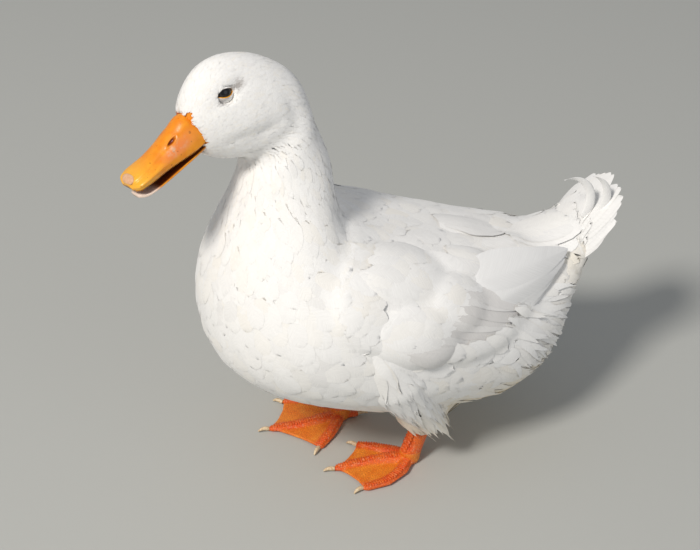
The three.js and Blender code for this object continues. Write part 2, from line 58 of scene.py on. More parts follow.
def middleOf(node):
    low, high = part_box(node)
    return (np.array(low) + np.array(high)) / 2


headTurn = turned(headPose["yaw"], headPose["pitch"], headPose["roll"])
eyesMiddle = (middleOf("eye_left") + middleOf("eye_right")) / 2
headTip = eyesMiddle - headTurn @ (np.array([0, -eyeball["forward"], eyeball["up"]]) * mm)
origin = headTip - np.array(headPose["tip"]) * mm  # where the bird's own zero lies in the frame


def place(points):  # bird millimetres to the frame's metres
    return np.asarray(points, float) * mm + origin


def inHead(points):  # (left, forward, up) in millimetres from the forehead tip, to the frame's metres
    points = np.asarray(points, float) * np.array([1, -1, 1])
    return points @ headTurn.T * mm + headTip


def toHead(points):  # the frame's metres to (left, forward, up) in the head, in millimetres
    return (np.asarray(points) - headTip) @ headTurn / mm * np.array([1, -1, 1])


def toBird(points):
    return (np.asarray(points) - origin) / mm


def smoothstep(value, low, high):
    t = np.clip((np.asarray(value, float) - low) / (high - low), 0, 1)
    return t * t * (3 - 2 * t)


def unit(vectors):
    return vectors / np.maximum(np.linalg.norm(vectors, axis=-1, keepdims=True), 1e-12)


cameraView = {"azimuth": 72, "height": 33, "distance": 1300, "lens": 75.34, "sensor": 36, "aim": (0, 0, 147),
              "seenAt": (385, 300), "picture": (700, 550)}


def linked(name, data):
    thing = bpy.data.objects.new(name, data)
    bpy.context.scene.collection.objects.link(thing)
    return thing


def addCamera(view):
    azimuth, height = math.radians(view["azimuth"]), math.radians(view["height"])
    level = np.array([math.sin(azimuth), -math.cos(azimuth), 0]) * math.cos(height)
    back = level + [0, 0, math.sin(height)]
    right = unit(np.cross(-back, [0, 0, 1]))
    up = np.cross(right, -back)
    pixels = view["lens"] / view["sensor"] * view["picture"][0]  # focal length in pixels
    across, down = (np.array(view["seenAt"]) - np.array(view["picture"]) / 2) / pixels * view["distance"]
    data = bpy.data.cameras.new("camera")
    data.lens = view["lens"]
    camera = linked("camera", data)
    camera.matrix_world = Matrix(np.column_stack([right, up, back]).tolist()).to_4x4()
    camera.location = place(view["aim"]) + (back * view["distance"] - right * across + up * down) * mm
    bpy.context.scene.camera = camera
    return right, back


cameraRight, cameraBack = addCamera(cameraView)

studio = {
    "sky": ("#eef1f6", 0.37),
    "key": {"from": (-2.0, 3.6, 2.8), "size": 1.0, "power": 190, "colour": "#fffaf3"},
    "fill": {"from": (2.6, 1.4, 2.4), "size": 3.0, "power": 12, "colour": "#eef2fa"},
    "floor": "#b9bab6",
}


def linear(colour):  # sRGB hex to linear
    channels = [int(colour[i:i + 2], 16) / 255 for i in (1, 3, 5)]
    return tuple(c / 12.92 if c <= 0.04045 else ((c + 0.055) / 1.055) ** 2.4 for c in channels) + (1.0,)


def addNode(tree, kind, inputs=None, **settings):  # inputs holds values or the sockets linked to them
    node = tree.nodes.new(kind)
    for key, value in settings.items():
        setattr(node, key, value)
    for key, value in (inputs or {}).items():
        if isinstance(value, bpy.types.NodeSocket):
            tree.links.new(value, node.inputs[key])
        else:
            node.inputs[key].default_value = value
    return node


def addLight(name, data):
    lamp = bpy.data.lights.new(name, "AREA")
    lamp.shape = "DISK"
    lamp.size = data["size"]
    lamp.energy = data["power"]
    lamp.color = linear(data["colour"])[:3]
    toLeft, toUp, toFront = data["from"]  # seen from the camera
    level = unit(cameraBack * np.array([1, 1, 0]))
    spot = cameraRight * toLeft + np.array([0, 0, 1]) * toUp + level * toFront
    light = linked(name, lamp)
    light.location = spot + place((0, 0, 150))
    light.rotation_euler = Vector(spot).to_track_quat("Z", "Y").to_euler()


addLight("key_light", studio["key"])
addLight("fill_light", studio["fill"])
world = bpy.data.worlds.new("studio")
world.use_nodes = True
sky = world.node_tree.nodes["Background"].inputs
sky["Color"].default_value = linear(studio["sky"][0])
sky["Strength"].default_value = studio["sky"][1]
bpy.context.scene.world = world
bpy.context.scene.view_settings.view_transform = "Standard"  # true colours, whites stay white


def newMaterial(name, settings):
    material = bpy.data.materials.new(name)
    material.use_nodes = True
    tree = material.node_tree
    tree.nodes.clear()
    output = addNode(tree, "ShaderNodeOutputMaterial")
    shader = addNode(tree, "ShaderNodeBsdfPrincipled", settings)
    tree.links.new(shader.outputs["BSDF"], output.inputs["Surface"])
    return material, tree, shader


def layered(tree, colour, layers):  # colours laid over one another, each where its factor says
    for where, over in layers:
        over = linear(over) if isinstance(over, str) else over
        laid = addNode(tree, "ShaderNodeMix", {"Factor": where, "A": colour, "B": over}, data_type="RGBA")
        colour = laid.outputs["Result"]
    return colour


def spotted(tree, place, size, low, high, detail=2.0):  # soft patches about size millimetres across
    noise = addNode(tree, "ShaderNodeTexNoise", {"Vector": place, "Scale": 1000 / size, "Detail": detail})
    reach = {"Value": noise.outputs["Fac"], "From Min": low, "From Max": high}
    return addNode(tree, "ShaderNodeMapRange", reach).outputs[0]


floorPaint, tree, shader = newMaterial("matt_studio_floor", {  # even pale grey, no shine
    "Base Color": linear(studio["floor"]), "Roughness": 0.9})
bpy.ops.mesh.primitive_plane_add(size=12)
floor = bpy.context.object
floor.name = "floor"
floor.data.materials.append(floorPaint)
print("camera, light and floor are set")


def newMesh(name, points, faces):  # faces: one array of corners, or a list of them with rows of any length
    groups = faces if isinstance(faces, list) else [faces]
    mesh = bpy.data.meshes.new(name)
    mesh.vertices.add(len(points))
    mesh.vertices.foreach_set("co", np.asarray(points, np.float32).ravel())
    corners = np.concatenate([g.ravel() for g in groups])
    sizes = np.concatenate([np.full(len(g), g.shape[1]) for g in groups])
    mesh.loops.add(len(corners))
    mesh.loops.foreach_set("vertex_index", corners.astype(np.int32))
    mesh.polygons.add(len(sizes))
    mesh.polygons.foreach_set("loop_start", (np.cumsum(sizes) - sizes).astype(np.int32))
    mesh.update(calc_edges=True)
    mesh.shade_smooth()
    return mesh


def newPiece(name, mesh, material=None):
    piece = linked(name, mesh)
    if material:
        piece.data.materials.append(material)
    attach(piece, "root")
    return piece


def pointsOf(mesh):
    flat = np.empty(len(mesh.vertices) * 3, np.float32)
    mesh.vertices.foreach_get("co", flat)
    return flat.reshape(-1, 3).astype(float)


def movePoints(mesh, points):
    mesh.vertices.foreach_set("co", points.astype(np.float32).ravel())
    mesh.update()


def normalsOf(mesh):
    flat = np.empty(len(mesh.vertices) * 3, np.float32)
    mesh.vertex_normals.foreach_get("vector", flat)
    return flat.reshape(-1, 3).astype(float)


def setValues(mesh, name, values):
    layer = mesh.attributes.new(name, "FLOAT", "POINT")
    layer.data.foreach_set("value", np.asarray(values, np.float32).ravel())


def setMaps(mesh, maps):  # UV maps by name, given for each point
    corners = np.empty(len(mesh.loops), np.int32)
    mesh.loops.foreach_get("vertex_index", corners)
    for name, values in maps.items():
        layer = mesh.uv_layers.new(name=name)
        layer.data.foreach_set("uv", values[corners].astype(np.float32).ravel())


def facedOut(mesh):
    work = bmesh.new()
    work.from_mesh(mesh)
    bmesh.ops.recalc_face_normals(work, faces=work.faces)
    work.to_mesh(mesh)
    work.free()
    return mesh


def applied(carrier, *others):  # its mesh with the modifiers applied; the working objects go
    mesh = bpy.data.meshes.new_from_object(carrier.evaluated_get(bpy.context.evaluated_depsgraph_get()))
    for thing in (carrier, *others):
        bpy.data.objects.remove(thing)
    return mesh


def relaxed(points, edges, rounds, amount=0.5, keep=None):
    count = np.bincount(edges.ravel(), minlength=len(points))[:, None]
    for _ in range(rounds):
        total = np.column_stack([
            np.bincount(edges[:, 0], points[edges[:, 1], k], len(points))
            + np.bincount(edges[:, 1], points[edges[:, 0], k], len(points)) for k in range(3)
        ])
        moved = points + (total / np.maximum(count, 1) - points) * amount
        points = moved if keep is None else np.where(keep[:, None], points, moved)
    return points


def edgesOf(mesh):
    flat = np.empty(len(mesh.edges) * 2, np.int32)
    mesh.edges.foreach_get("vertices", flat)
    return flat.reshape(-1, 2)


def remeshed(meshes, voxel, rounds):  # one closed mesh round several closed ones
    work = bmesh.new()
    for mesh in meshes:
        work.from_mesh(mesh)
    joined = bpy.data.meshes.new("joined")
    work.to_mesh(joined)
    work.free()
    carrier = linked("carrier", joined)
    modifier = carrier.modifiers.new("remesh", "REMESH")
    modifier.mode = "VOXEL"
    modifier.voxel_size = voxel * mm
    modifier.adaptivity = 0
    result = largestPart(applied(carrier))
    movePoints(result, relaxed(pointsOf(result), edgesOf(result), rounds))
    return result


def largestPart(mesh):  # loose crumbs go
    parent = np.arange(len(mesh.vertices))
    edges = edgesOf(mesh)
    while True:
        low = np.minimum(parent[edges[:, 0]], parent[edges[:, 1]])
        fresh = parent.copy()
        np.minimum.at(fresh, edges[:, 0], low)
        np.minimum.at(fresh, edges[:, 1], low)
        fresh = fresh[fresh]
        if (fresh == parent).all():
            break
        parent = fresh
    names, sizes = np.unique(parent, return_counts=True)
    if len(names) == 1:
        return mesh
    biggest = names[sizes.argmax()]
    work = bmesh.new()
    work.from_mesh(mesh)
    work.verts.ensure_lookup_table()
    bmesh.ops.delete(work, geom=[v for v in work.verts if parent[v.index] != biggest], context="VERTS")
    work.to_mesh(mesh)
    work.free()
    return mesh


def grownCopy(node, distance):  # a copy of a CAD node, a little thicker so that it meets its neighbours
    work = bmesh.new()
    work.from_mesh(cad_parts[node].data)
    bmesh.ops.remove_doubles(work, verts=work.verts, dist=1e-6)
    work.normal_update()
    for vertex, normal in [(v, v.normal.copy()) for v in work.verts]:
        vertex.co += normal * distance * mm
    mesh = bpy.data.meshes.new(node + "_copy")
    work.to_mesh(mesh)
    work.free()
    return mesh


# the skin is one closed surface under the whole coat, down to the toes
skinSizes = {"voxel": 2.5, "legVoxel": 0.95, "gap": 0.35}
coatDepth = {"head": 1.6, "neck": 3.5, "body": 5.0, "vent": 8.0, "thigh": 2.5}
legPlan = [  # where the shank meets the foot, and each toe's turn in degrees
    {"name": "left", "side": 1, "joint": (50, 8),
     "toes": {"inner": -40, "middle": -6, "outer": 25, "hind": 222}},
    {"name": "right", "side": -1, "joint": (-30, -33),
     "toes": {"inner": 50, "middle": -1, "outer": -38, "hind": 172}},
]
shankShape = {"low": 9, "high": 66, "wide": 8.7, "deep": 9.4, "back": 20, "out": 3.2}


def tube(path, wides, deeps, count=20):  # closed, from path points and half sizes across and fore and aft
    path, wides, deeps = (np.asarray(a, float) for a in (path, wides, deeps))
    ahead = unit(np.gradient(path, axis=0))
    across = unit(np.cross(ahead, np.where(np.abs(ahead[:, 2:]) > 0.8, [[0, 1, 0]], [[0, 0, 1]])))
    over = np.cross(across, ahead)
    angle = np.linspace(0, 2 * np.pi, count, endpoint=False)[:, None]
    rings = [p + np.cos(angle) * a * w + np.sin(angle) * o * d
             for p, a, o, w, d in zip(path, across, over, wides, deeps)]
    return capped(np.array(rings))


def capped(rings):  # rings (n, count, 3) joined into a closed skin, with a point at each end
    n, count = rings.shape[:2]
    points = np.concatenate([rings.reshape(-1, 3), rings[[0, -1]].mean(axis=1)])
    i = np.arange(count)
    j = (i + 1) % count
    r = np.arange(n - 1)[:, None] * count
    quads = np.stack([r + i, r + j, r + count + j, r + count + i], -1).reshape(-1, 4)
    ends = np.concatenate([
        np.stack([j, i, np.full(count, n * count)], -1),
        np.stack([(n - 1) * count + i, (n - 1) * count + j, np.full(count, n * count + 1)], -1),
    ])
    return points, quads, ends


def closedMesh(name, rings):
    points, quads, ends = capped(rings) if isinstance(rings, np.ndarray) else rings
    return facedOut(newMesh(name, points, [quads, ends]))


plumageNodes = ["head", "neck", "trunk", "rump", "wing_left", "wing_right", "thigh_left", "thigh_right"]
skinMesh = remeshed([grownCopy(n, skinSizes["gap"]) for n in plumageNodes], skinSizes["voxel"], 3)


def gauss(points, centre, sizes):
    return np.exp(-(((points - np.array(centre)) / np.array(sizes)) ** 2).sum(axis=1))


faceShapes = [  # swellings and hollows: place and reach in the head, and rise, all in millimetres
    {"at": (27, -44, -26), "reach": (14, 17, 14), "rise": 1.6},  # cheek
    {"at": (22, -38, 13), "reach": (10, 13, 6), "rise": 0.9},  # brow
    {"at": (24, -37, 4), "reach": (9, 10, 4.5), "rise": -1.3},  # the eye's hollow
    {"at": (26, -48, 4), "reach": (8, 8, 6), "rise": -1.5},  # behind the eye
    {"at": (20, -24, -1), "reach": (8, 7, 4), "rise": -1.0},  # in front of the eye
    {"at": (27, -30, -33), "reach": (12, 13, 3.6), "rise": -1.5},  # fold under the cheek
    {"at": (27, -52, -38), "reach": (12, 15, 4), "rise": -1.8},
    {"at": (28, -79, -38), "reach": (13, 6, 13), "rise": -2.4},  # fold behind the cheek
    {"at": (27, -65, -52), "reach": (13, 9, 6), "rise": -2.2},
    {"at": (20, -26, -49), "reach": (12, 24, 5), "rise": 1.2},  # jaw
]


def headShape(points):
    spots = toHead(points)
    spots[:, 0] = np.abs(spots[:, 0])
    return sum(shape["rise"] * gauss(spots, shape["at"], shape["reach"]) for shape in faceShapes)


points, normals = pointsOf(skinMesh), normalsOf(skinMesh)
bird, head = toBird(points), toHead(points)
inHeadPart = smoothstep(head[:, 2], -75, -50) * smoothstep(head[:, 1], -125, -95)
inNeck = smoothstep(bird[:, 2], 265, 300)
inThigh = smoothstep(bird[:, 2], 75, 50)
inVent = smoothstep(bird[:, 1], 90, 150) * smoothstep(bird[:, 2], 190, 130)
depth = coatDepth["body"] + (coatDepth["neck"] - coatDepth["body"]) * inNeck
depth = depth + (coatDepth["head"] - depth) * inHeadPart
depth = depth + (coatDepth["vent"] - depth) * inVent * (1 - inNeck)
depth = depth + (coatDepth["thigh"] - depth) * inThigh
depth += skinSizes["gap"]
points = points + normals * ((headShape(points) * inHeadPart - depth) * mm)[:, None]
movePoints(skinMesh, relaxed(points, edgesOf(skinMesh), 3))


def shankPath(leg):
    s = shankShape
    way = np.array([leg["side"] * s["out"], s["back"], s["high"] - s["low"]])
    return np.array([*leg["joint"], s["low"]]) + np.linspace(0, 1, 9)[:, None] * way


legMeshes = []
for leg in legPlan:
    taper = np.array([1.08, 1.0, 0.93, 0.9, 0.9, 0.93, 1.0, 1.08, 1.12])
    wides, deeps = shankShape["wide"] * taper * mm, shankShape["deep"] * taper * mm
    bone = closedMesh("bone", tube(place(shankPath(leg)), wides, deeps))
    legMeshes.append(remeshed([grownCopy("foot_" + leg["name"], 0.1), bone], skinSizes["legVoxel"], 5))


def united(base, others):
    carrier = linked("carrier", base)
    helpers = [linked("helper", mesh) for mesh in others]
    for helper in helpers:
        modifier = carrier.modifiers.new("union", "BOOLEAN")
        modifier.operation = "UNION"
        modifier.object = helper
        modifier.solver = "MANIFOLD"
    return applied(carrier, *helpers)


coatBase = skinMesh.copy()
for leg in legMeshes:
    p = pointsOf(leg)
    p[:, 2] = np.maximum(p[:, 2], 0)
    movePoints(leg, p)
skin = united(skinMesh, legMeshes)
onLeg = {"high": 0.085, "near": 0.00008}  # metres: no leg is higher, and how near a face is to be the leg's
legFaces = np.zeros(len(skin.polygons), np.int32)
centres = np.empty(len(skin.polygons) * 3, np.float32)
skin.polygons.foreach_get("center", centres)
centres = centres.reshape(-1, 3)
for leg in legMeshes:
    flat = [list(face.vertices) for face in leg.polygons]
    tree = BVHTree.FromPolygons(pointsOf(leg).tolist(), flat)
    for index in np.nonzero(centres[:, 2] < onLeg["high"])[0]:
        distance = tree.find_nearest(Vector(centres[index].tolist()))[3]
        if distance is not None and distance < onLeg["near"]:
            legFaces[index] = 1
print("skin:", len(skin.polygons), "faces; coat base:", len(coatBase.polygons))

# the tones of the plumage are the same on the skin and on the coat
plumageTones = [  # where the white is warmer, in the bird's millimetres, and how much
    {"at": (45, 75, 60), "reach": (80, 75, 48), "creamOrShade": 1.1},
    {"at": (-45, 75, 60), "reach": (80, 75, 48), "creamOrShade": 1.1},
    {"at": (0, -70, 70), "reach": (110, 90, 38), "creamOrShade": 1.0},
    {"at": (55, 150, 175), "reach": (25, 25, 18), "creamOrShade": 0.4},
]
paintedFaceShade = [  # painted shade: where the face is darkened towards the shade grey, in the hollow behind the eye and the crease in front of it, in the head's millimetres, and how much
    {"at": (22, -45, 4), "reach": (9, 4.5, 4), "grey": 0.85},
    {"at": (20, -26.5, -1.5), "reach": (8, 5, 1.6), "grey": 0.7},
]


def toneAt(points):
    bird = toBird(points)
    tone = np.zeros(len(points))
    for spot in plumageTones:
        tone = np.maximum(tone, spot["creamOrShade"] * gauss(bird, spot["at"], spot["reach"]))
    face = toHead(points)
    face[:, 0] = np.abs(face[:, 0])
    # painted shade in the face's hollows round the eyes
    for spot in paintedFaceShade:
        tone -= spot["grey"] * gauss(face, spot["at"], spot["reach"])
    return tone


# the lie of the coat is blended from these guides
coatGuides = {  # at, toward, long, wide, apart, lift of root and tip, shag; those off the middle are mirrored
    "head": [
        ((0, -2, 2), (0, -1, 0.3), 5.2, 2.2, 1.2, 1.0, 1.4, 0.15),  # forehead tip
        ((14, -8, -12), (0.5, -1, 0), 5.2, 2.2, 1.2, 0.8, 1.1, 0.15),
        ((0, -35, 26), (0, -1, 0), 7.8, 2.7, 1.5, 0.95, 1.3, 0.15),  # crown
        ((24, -37, 0), (0, -1, -0.1), 5.2, 2.0, 1.15, 0.57, 0.8, 0.15),  # round the eyes
        ((28, -45, -25), (0, -1, -0.2), 9.1, 3.0, 1.6, 0.99, 1.4, 0.15),  # cheeks
        ((0, -20, -50), (0, -1, -0.1), 7.8, 2.7, 1.5, 0.95, 1.3, 0.15),  # chin
        ((0, -80, 8), (0, -0.8, -0.6), 11.7, 3.1, 1.9, 1.24, 1.7, 0.15),  # hind crown
        ((30, -85, -30), (0, -0.7, -0.8), 13.0, 3.4, 2.1, 1.58, 2.1, 0.15),
    ],
    "body": [
        ((0, -50, 320), (0, 0.1, -1), 17.2, 4.4, 3.0, 2.62, 3.2, 0.2),  # nape
        ((36, -90, 305), (0, 0.1, -1), 17.2, 4.4, 3.0, 2.62, 3.2, 0.2),
        ((0, -130, 300), (0, 0, -1), 17.2, 4.7, 3.0, 2.62, 3.2, 0.2),
        ((50, -100, 270), (0, 0.25, -1), 23.0, 9.1, 4.6, 3.3, 4.0, 0.2),
        ((0, -155, 240), (0, 0, -1), 24.1, 11.7, 5.4, 3.5, 4.2, 0.2),
        ((0, -165, 185), (0, 0.2, -1), 27.6, 18.2, 6.8, 3.79, 4.6, 0.2),  # breast
        ((70, -140, 180), (0, 0.35, -1), 27.6, 18.2, 6.8, 3.79, 4.6, 0.2),
        ((0, -145, 118), (0, 0.8, -0.6), 28.7, 18.2, 7.0, 3.79, 4.6, 0.2),
        ((90, -95, 150), (0, 0.7, -0.7), 31.0, 19.5, 7.2, 3.83, 4.7, 0.2),
        ((80, -60, 225), (0, 0.8, -0.6), 31.0, 19.5, 7.2, 3.83, 4.7, 0.2),  # shoulder
        ((0, -60, 75), (0, 1, 0), 31.0, 18.2, 7.2, 3.59, 4.4, 0.2),  # belly
        ((70, -50, 95), (0, 1, -0.3), 32.2, 19.5, 7.4, 3.79, 4.6, 0.2),
        ((105, 0, 125), (0, 0.9, -0.45), 36.8, 22.1, 8.2, 3.76, 4.8, 0.4),  # flank
        ((80, 40, 80), (0, 0.6, -0.8), 36.8, 15.6, 7.4, 4.01, 5.4, 0.7),
        ((0, 40, 55), (0, 1, 0), 32.2, 15.6, 7.2, 3.67, 4.6, 0.5),
        ((0, -45, 265), (0, 0.7, -0.7), 29.9, 18.2, 7.2, 3.79, 4.6, 0.2),  # between the shoulders
        ((0, 40, 222), (0, 1, 0), 36.8, 23.4, 8.4, 3.79, 4.6, 0.2),  # back
        ((0, 120, 200), (0, 1, 0.1), 36.8, 23.4, 8.4, 3.87, 4.8, 0.2),
        ((0, 165, 203), (0, 1, 0.5), 36.8, 19.5, 8.0, 3.96, 5.0, 0.2),  # over the tail
        ((70, 110, 120), (0, 0.8, -0.6), 36.8, 10.4, 6.0, 3.4, 7.0, 0.9),  # vent fluff
        ((0, 125, 62), (0, 1, 0), 34.5, 10.4, 6.0, 3.4, 7.0, 0.9),
        ((40, 165, 150), (0, 0.9, 0.1), 36.8, 10.4, 6.0, 3.4, 7.0, 0.8),
        ((0, 170, 130), (0, 0.8, 0.6), 36.8, 10.4, 6.0, 3.4, 7.0, 0.8),
        ((60, 20, 60), (0, 0.4, -1), 29.9, 9.1, 5.0, 2.07, 3.0, 0.8),  # thigh
    ],
}


def guideRows(part):
    for at, toward, *sizes in coatGuides[part]:
        for flip in ((1, 1, 1), (-1, 1, 1))[:1 if at[0] == 0 else 2]:
            spot, way = np.array(at) * flip, np.array(toward) * flip
            if part == "head":
                yield inHead(spot), headTurn @ (way * [1, -1, 1]), sizes
            else:
                yield place(spot), way, sizes


guides = [*guideRows("head"), *guideRows("body")]
guideAt = np.array([g[0] for g in guides])
guideToward = unit(np.array([g[1] for g in guides]))
guideSizes = np.array([g[2] for g in guides])

basePoints, baseNormals = pointsOf(coatBase), normalsOf(coatBase)
baseFaces = np.empty(len(coatBase.polygons) * 4, np.int32)
coatBase.polygons.foreach_get("vertices", baseFaces)
baseFaces = baseFaces.reshape(-1, 4)
coatTree = BVHTree.FromPolygons(basePoints.tolist(), baseFaces.tolist())


def nearestOn(tree, vertices, normals, points, corners=baseFaces):  # nearest places, with smooth normals
    spots, faces = np.empty((len(points), 3)), np.empty(len(points), int)
    for i, point in enumerate(points.tolist()):
        spots[i], _, faces[i], _ = tree.find_nearest(point)
    corners = corners[faces]
    nearness = 1 / (np.linalg.norm(vertices[corners] - spots[:, None], axis=2) + 1e-5)
    return spots, unit((normals[corners] * nearness[:, :, None]).sum(axis=1))


def nearestOnCoat(points):
    return nearestOn(coatTree, basePoints, baseNormals, points)


def blended(points):  # lie and sizes of the coat at each point
    toward, sizes = np.empty((len(points), 3)), np.empty((len(points), 6))
    for start in range(0, len(points), 20000):
        part = slice(start, start + 20000)
        distance = np.linalg.norm(points[part, None] - guideAt[None], axis=2) / mm
        weight = (distance + 9) ** -4.0
        weight /= weight.sum(axis=1, keepdims=True)
        toward[part], sizes[part] = weight @ guideToward, weight @ guideSizes
    return toward, sizes


# the unwrap goes round the body, and along this line from the tail to the bill
bodyLine = place([(0, 230, 205), (0, 150, 165), (0, 60, 135), (0, -60, 155), (0, -100, 205),
                  (0, -98, 260), (0, -92, 300), (3, -92, 335), (14, -140, 345), (30, -215, 330)])


def unwrap(points):
    steps = np.linspace(0, len(bodyLine) - 1, 240)
    line = np.column_stack([np.interp(steps, np.arange(len(bodyLine)), bodyLine[:, k]) for k in range(3)])
    ahead = unit(np.gradient(line, axis=0))
    along, angle = np.empty(len(points)), np.empty(len(points))
    for start in range(0, len(points), 20000):
        part = slice(start, start + 20000)
        nearest = np.linalg.norm(points[part, None] - line[None], axis=2).argmin(axis=1)
        out = points[part] - line[nearest]
        over = np.cross(ahead[nearest], [1, 0, 0])
        angle[part] = np.arctan2(out[:, 0], (out * over).sum(axis=1)) / (2 * np.pi) + 0.5
        along[part] = nearest / len(line)
    return np.column_stack([angle, along])


# feathers are closed vanes, thin at their rims, laid on the coat's base
patch = 0.003  # size of a feather's place on the bake map


def lensGrid(rows, columns, crowd):  # steps and quads of a closed lens, its underside shares the top's rim
    along = 1 - (1 - np.linspace(0, 1, rows + 1)) ** 1.5
    across = np.linspace(-1, 1, columns + 1)
    across = np.sign(across) * np.abs(across) ** crowd
    top = np.arange((rows + 1) * (columns + 1)).reshape(rows + 1, columns + 1)
    under = top.copy()
    inside = (rows - 1) * (columns - 1)
    under[1:-1, 1:-1] = top.size + np.arange(inside).reshape(rows - 1, columns - 1)
    topQuads = np.stack([top[:-1, :-1], top[:-1, 1:], top[1:, 1:], top[1:, :-1]], -1).reshape(-1, 4)
    underQuads = np.stack([under[:-1, :-1], under[1:, :-1], under[1:, 1:], under[:-1, 1:]], -1).reshape(-1, 4)
    return along, across, np.concatenate([topQuads, underQuads])


def bothFaces(top, under):  # in the order of lensGrid: the whole top, then the underside within the rim
    n, size = len(top), top.shape[-1]
    return np.concatenate([top.reshape(n, -1, size), under[:, 1:-1, 1:-1].reshape(n, -1, size)], axis=1)


def vaneWidth(s, root, shoulder, tip):  # narrow root, full at the shoulder, rounded or pointed tip
    opening = root + (1 - root) * np.sin(np.clip(s / shoulder, 0, 1) * np.pi / 2)
    closing = np.clip((s - shoulder) / (1 - shoulder), 0, 1)
    return opening * np.maximum(1 - closing ** tip, 0) ** (1 / tip) * (1 - 0.05) + 0.05


# sizes in mm: long, wide, lift of root and tip, shag; laid gives the places and normals to lie on
def layFeathers(roots, toward, sizes, look, laid=nearestOnCoat, tilt=0, creamOrShade=0):
    n = len(roots)
    along, across, quads = lensGrid(look["rows"], look["columns"], look.get("crowd", 1))
    rootSpots, rootNormals = laid(roots)
    sunk = 0 if look.get("straight") else (toward * rootNormals).sum(axis=1, keepdims=True)
    ahead = unit(toward - sunk * rootNormals)
    turn = dice.normal(0, look["stray"], n)[:, None]
    aside = unit(np.cross(rootNormals, ahead))
    ahead, aside = ahead * np.cos(turn) + aside * np.sin(turn), aside * np.cos(turn) - ahead * np.sin(turn)
    long, wide, liftRoot, liftTip, shag = (sizes[:, k][:, None, None] for k in range(5))
    s, c = along[None, :, None], across[None, None, :]
    torn = dice.normal(0, 0.1, (n, 1, len(across))) * shag * s ** 3
    edge = 1 + dice.normal(0, 0.12, (n, len(along), 1)) * shag * np.abs(c)
    reach = s * (1 + torn) * long
    half = vaneWidth(s, look["root"], look["shoulder"], look["tip"]) * wide / 2 * edge
    bend = dice.normal(0, look["bend"], (n, 1, 1)) * s ** 2 * long
    flat = (rootSpots[:, None, None] + ahead[:, None, None] * (reach * mm)[..., None]
            + aside[:, None, None] * ((c * half + bend) * mm)[..., None])
    spots, normals = laid(flat.reshape(-1, 3))
    spots, normals = spots.reshape(flat.shape), normals.reshape(flat.shape)
    rough = dice.normal(0, look["uneven"], (n, 1, 1)) * s
    lift = (liftRoot + (liftTip - liftRoot) * s ** look["rise"] + rough
            + look["dome"] * half * (1 - c ** 2) - look["droop"] * (s ** 5) * long * 0.1)
    lift += look.get("shaft", 0) * np.exp(-(c / 0.12) ** 2) * (1 - s * 0.7)
    lift -= np.reshape(tilt, (-1, 1, 1)) * c * half * np.sin(np.clip(s * 3, 0, 1) * np.pi / 2)
    top = spots + normals * (lift * mm)[..., None]
    thick = look["thick"] * (1 - c ** 2) * np.sqrt(np.clip(1 - s, 0, 1))
    thick = thick * (0.3 + 0.7 * np.sin(np.clip(s * 4, 0, 1) * np.pi / 2))
    under = top - normals * (thick * mm * np.ones_like(lift))[..., None]
    vane = np.stack(np.broadcast_arrays(c * half, s * long), -1)
    edge = (np.abs(c[0]) > 0.999) | (s[0] < 0.001) | (s[0] > 0.999)
    rim = bothFaces(edge[None, ..., None], np.zeros((1, *edge.shape, 1), bool)).ravel()
    local = np.stack(np.broadcast_arrays(c * 0.5, s - 0.5), -1)
    return {"points": bothFaces(top, under), "quads": quads, "vane": bothFaces(vane, vane),
            "local": bothFaces(local, local), "roots": rootSpots, "unwrapped": unwrap(rootSpots),
            "creamOrShade": creamOrShade, "rim": rim}


def featherPiece(name, batches, slot, material, *nodes):
    parts, start = {key: [] for key in ("points", "quads", "vane", "bake", "local", "tone", "rim")}, 0
    for batch in batches:
        n, per = batch["points"].shape[:2]
        parts["points"].append(batch["points"].reshape(-1, 3))
        quads = batch["quads"][None] + start + np.arange(n)[:, None, None] * per
        parts["quads"].append(quads.reshape(-1, 4))
        parts["vane"].append((batch["vane"] + dice.random((n, 1, 2)) * [0, 300]).reshape(-1, 2))
        parts["bake"].append(np.repeat(batch["unwrapped"], per, axis=0))
        parts["local"].append(np.tile(batch["local"].reshape(-1, 2), (n, 1)))
        parts["rim"].append(np.tile(batch["rim"], n))
        # the tone is cream above 0 and painted shade below 0
        own = toneAt(batch["roots"]) + batch["creamOrShade"] + dice.normal(0, 0.05, n)
        parts["tone"].append(np.repeat(own, per))
        start += n * per
    points, quads, vane, bake, local, tone, rim = (np.concatenate(part) for part in parts.values())
    low, high = bake.min(axis=0), bake.max(axis=0)
    bake = 0.01 + 0.98 * (bake - low) / np.maximum(high - low, 0.02) + local * patch
    mesh = newMesh(name, points, quads)
    setMaps(mesh, {"OFBake": bake, "Vane": vane / 100})
    setValues(mesh, "tone", tone)
    crisp = mesh.attributes.new("sharp_edge", "BOOLEAN", "EDGE")  # the rims don't round the look of the vanes
    crisp.data.foreach_set("value", rim[edgesOf(mesh)].all(axis=1))
    print(name, len(quads) * 2, "triangles")
    piece = newPiece(name, mesh, material)
    if nodes:
        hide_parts(*nodes)
    return piece


# outline of the folded wing: along and up
wingOutline = [(-36, 254), (-62, 238), (-76, 214), (-70, 190), (-36, 170), (4, 154), (44, 145),
               (78, 150), (112, 168), (130, 186), (120, 199), (80, 211), (20, 231)]


def distanceInside(y, z, outline):  # negative outside the outline
    a = np.array(outline, float)
    b = np.roll(a, -1, axis=0)
    p = np.column_stack([y, z])[:, None]
    along = np.clip(((p - a) * (b - a)).sum(axis=2) / ((b - a) ** 2).sum(axis=1), 0, 1)
    nearest = np.linalg.norm(p - a - (b - a) * along[..., None], axis=2).min(axis=1)
    crosses = (a[:, 1] > p[..., 1]) != (b[:, 1] > p[..., 1])
    with np.errstate(divide="ignore", invalid="ignore"):
        meets = p[..., 0] < a[:, 0] + (p[..., 1] - a[:, 1]) / (b[:, 1] - a[:, 1]) * (b[:, 0] - a[:, 0])
    return np.where((crosses & meets).sum(axis=1) % 2 == 1, nearest, -nearest)


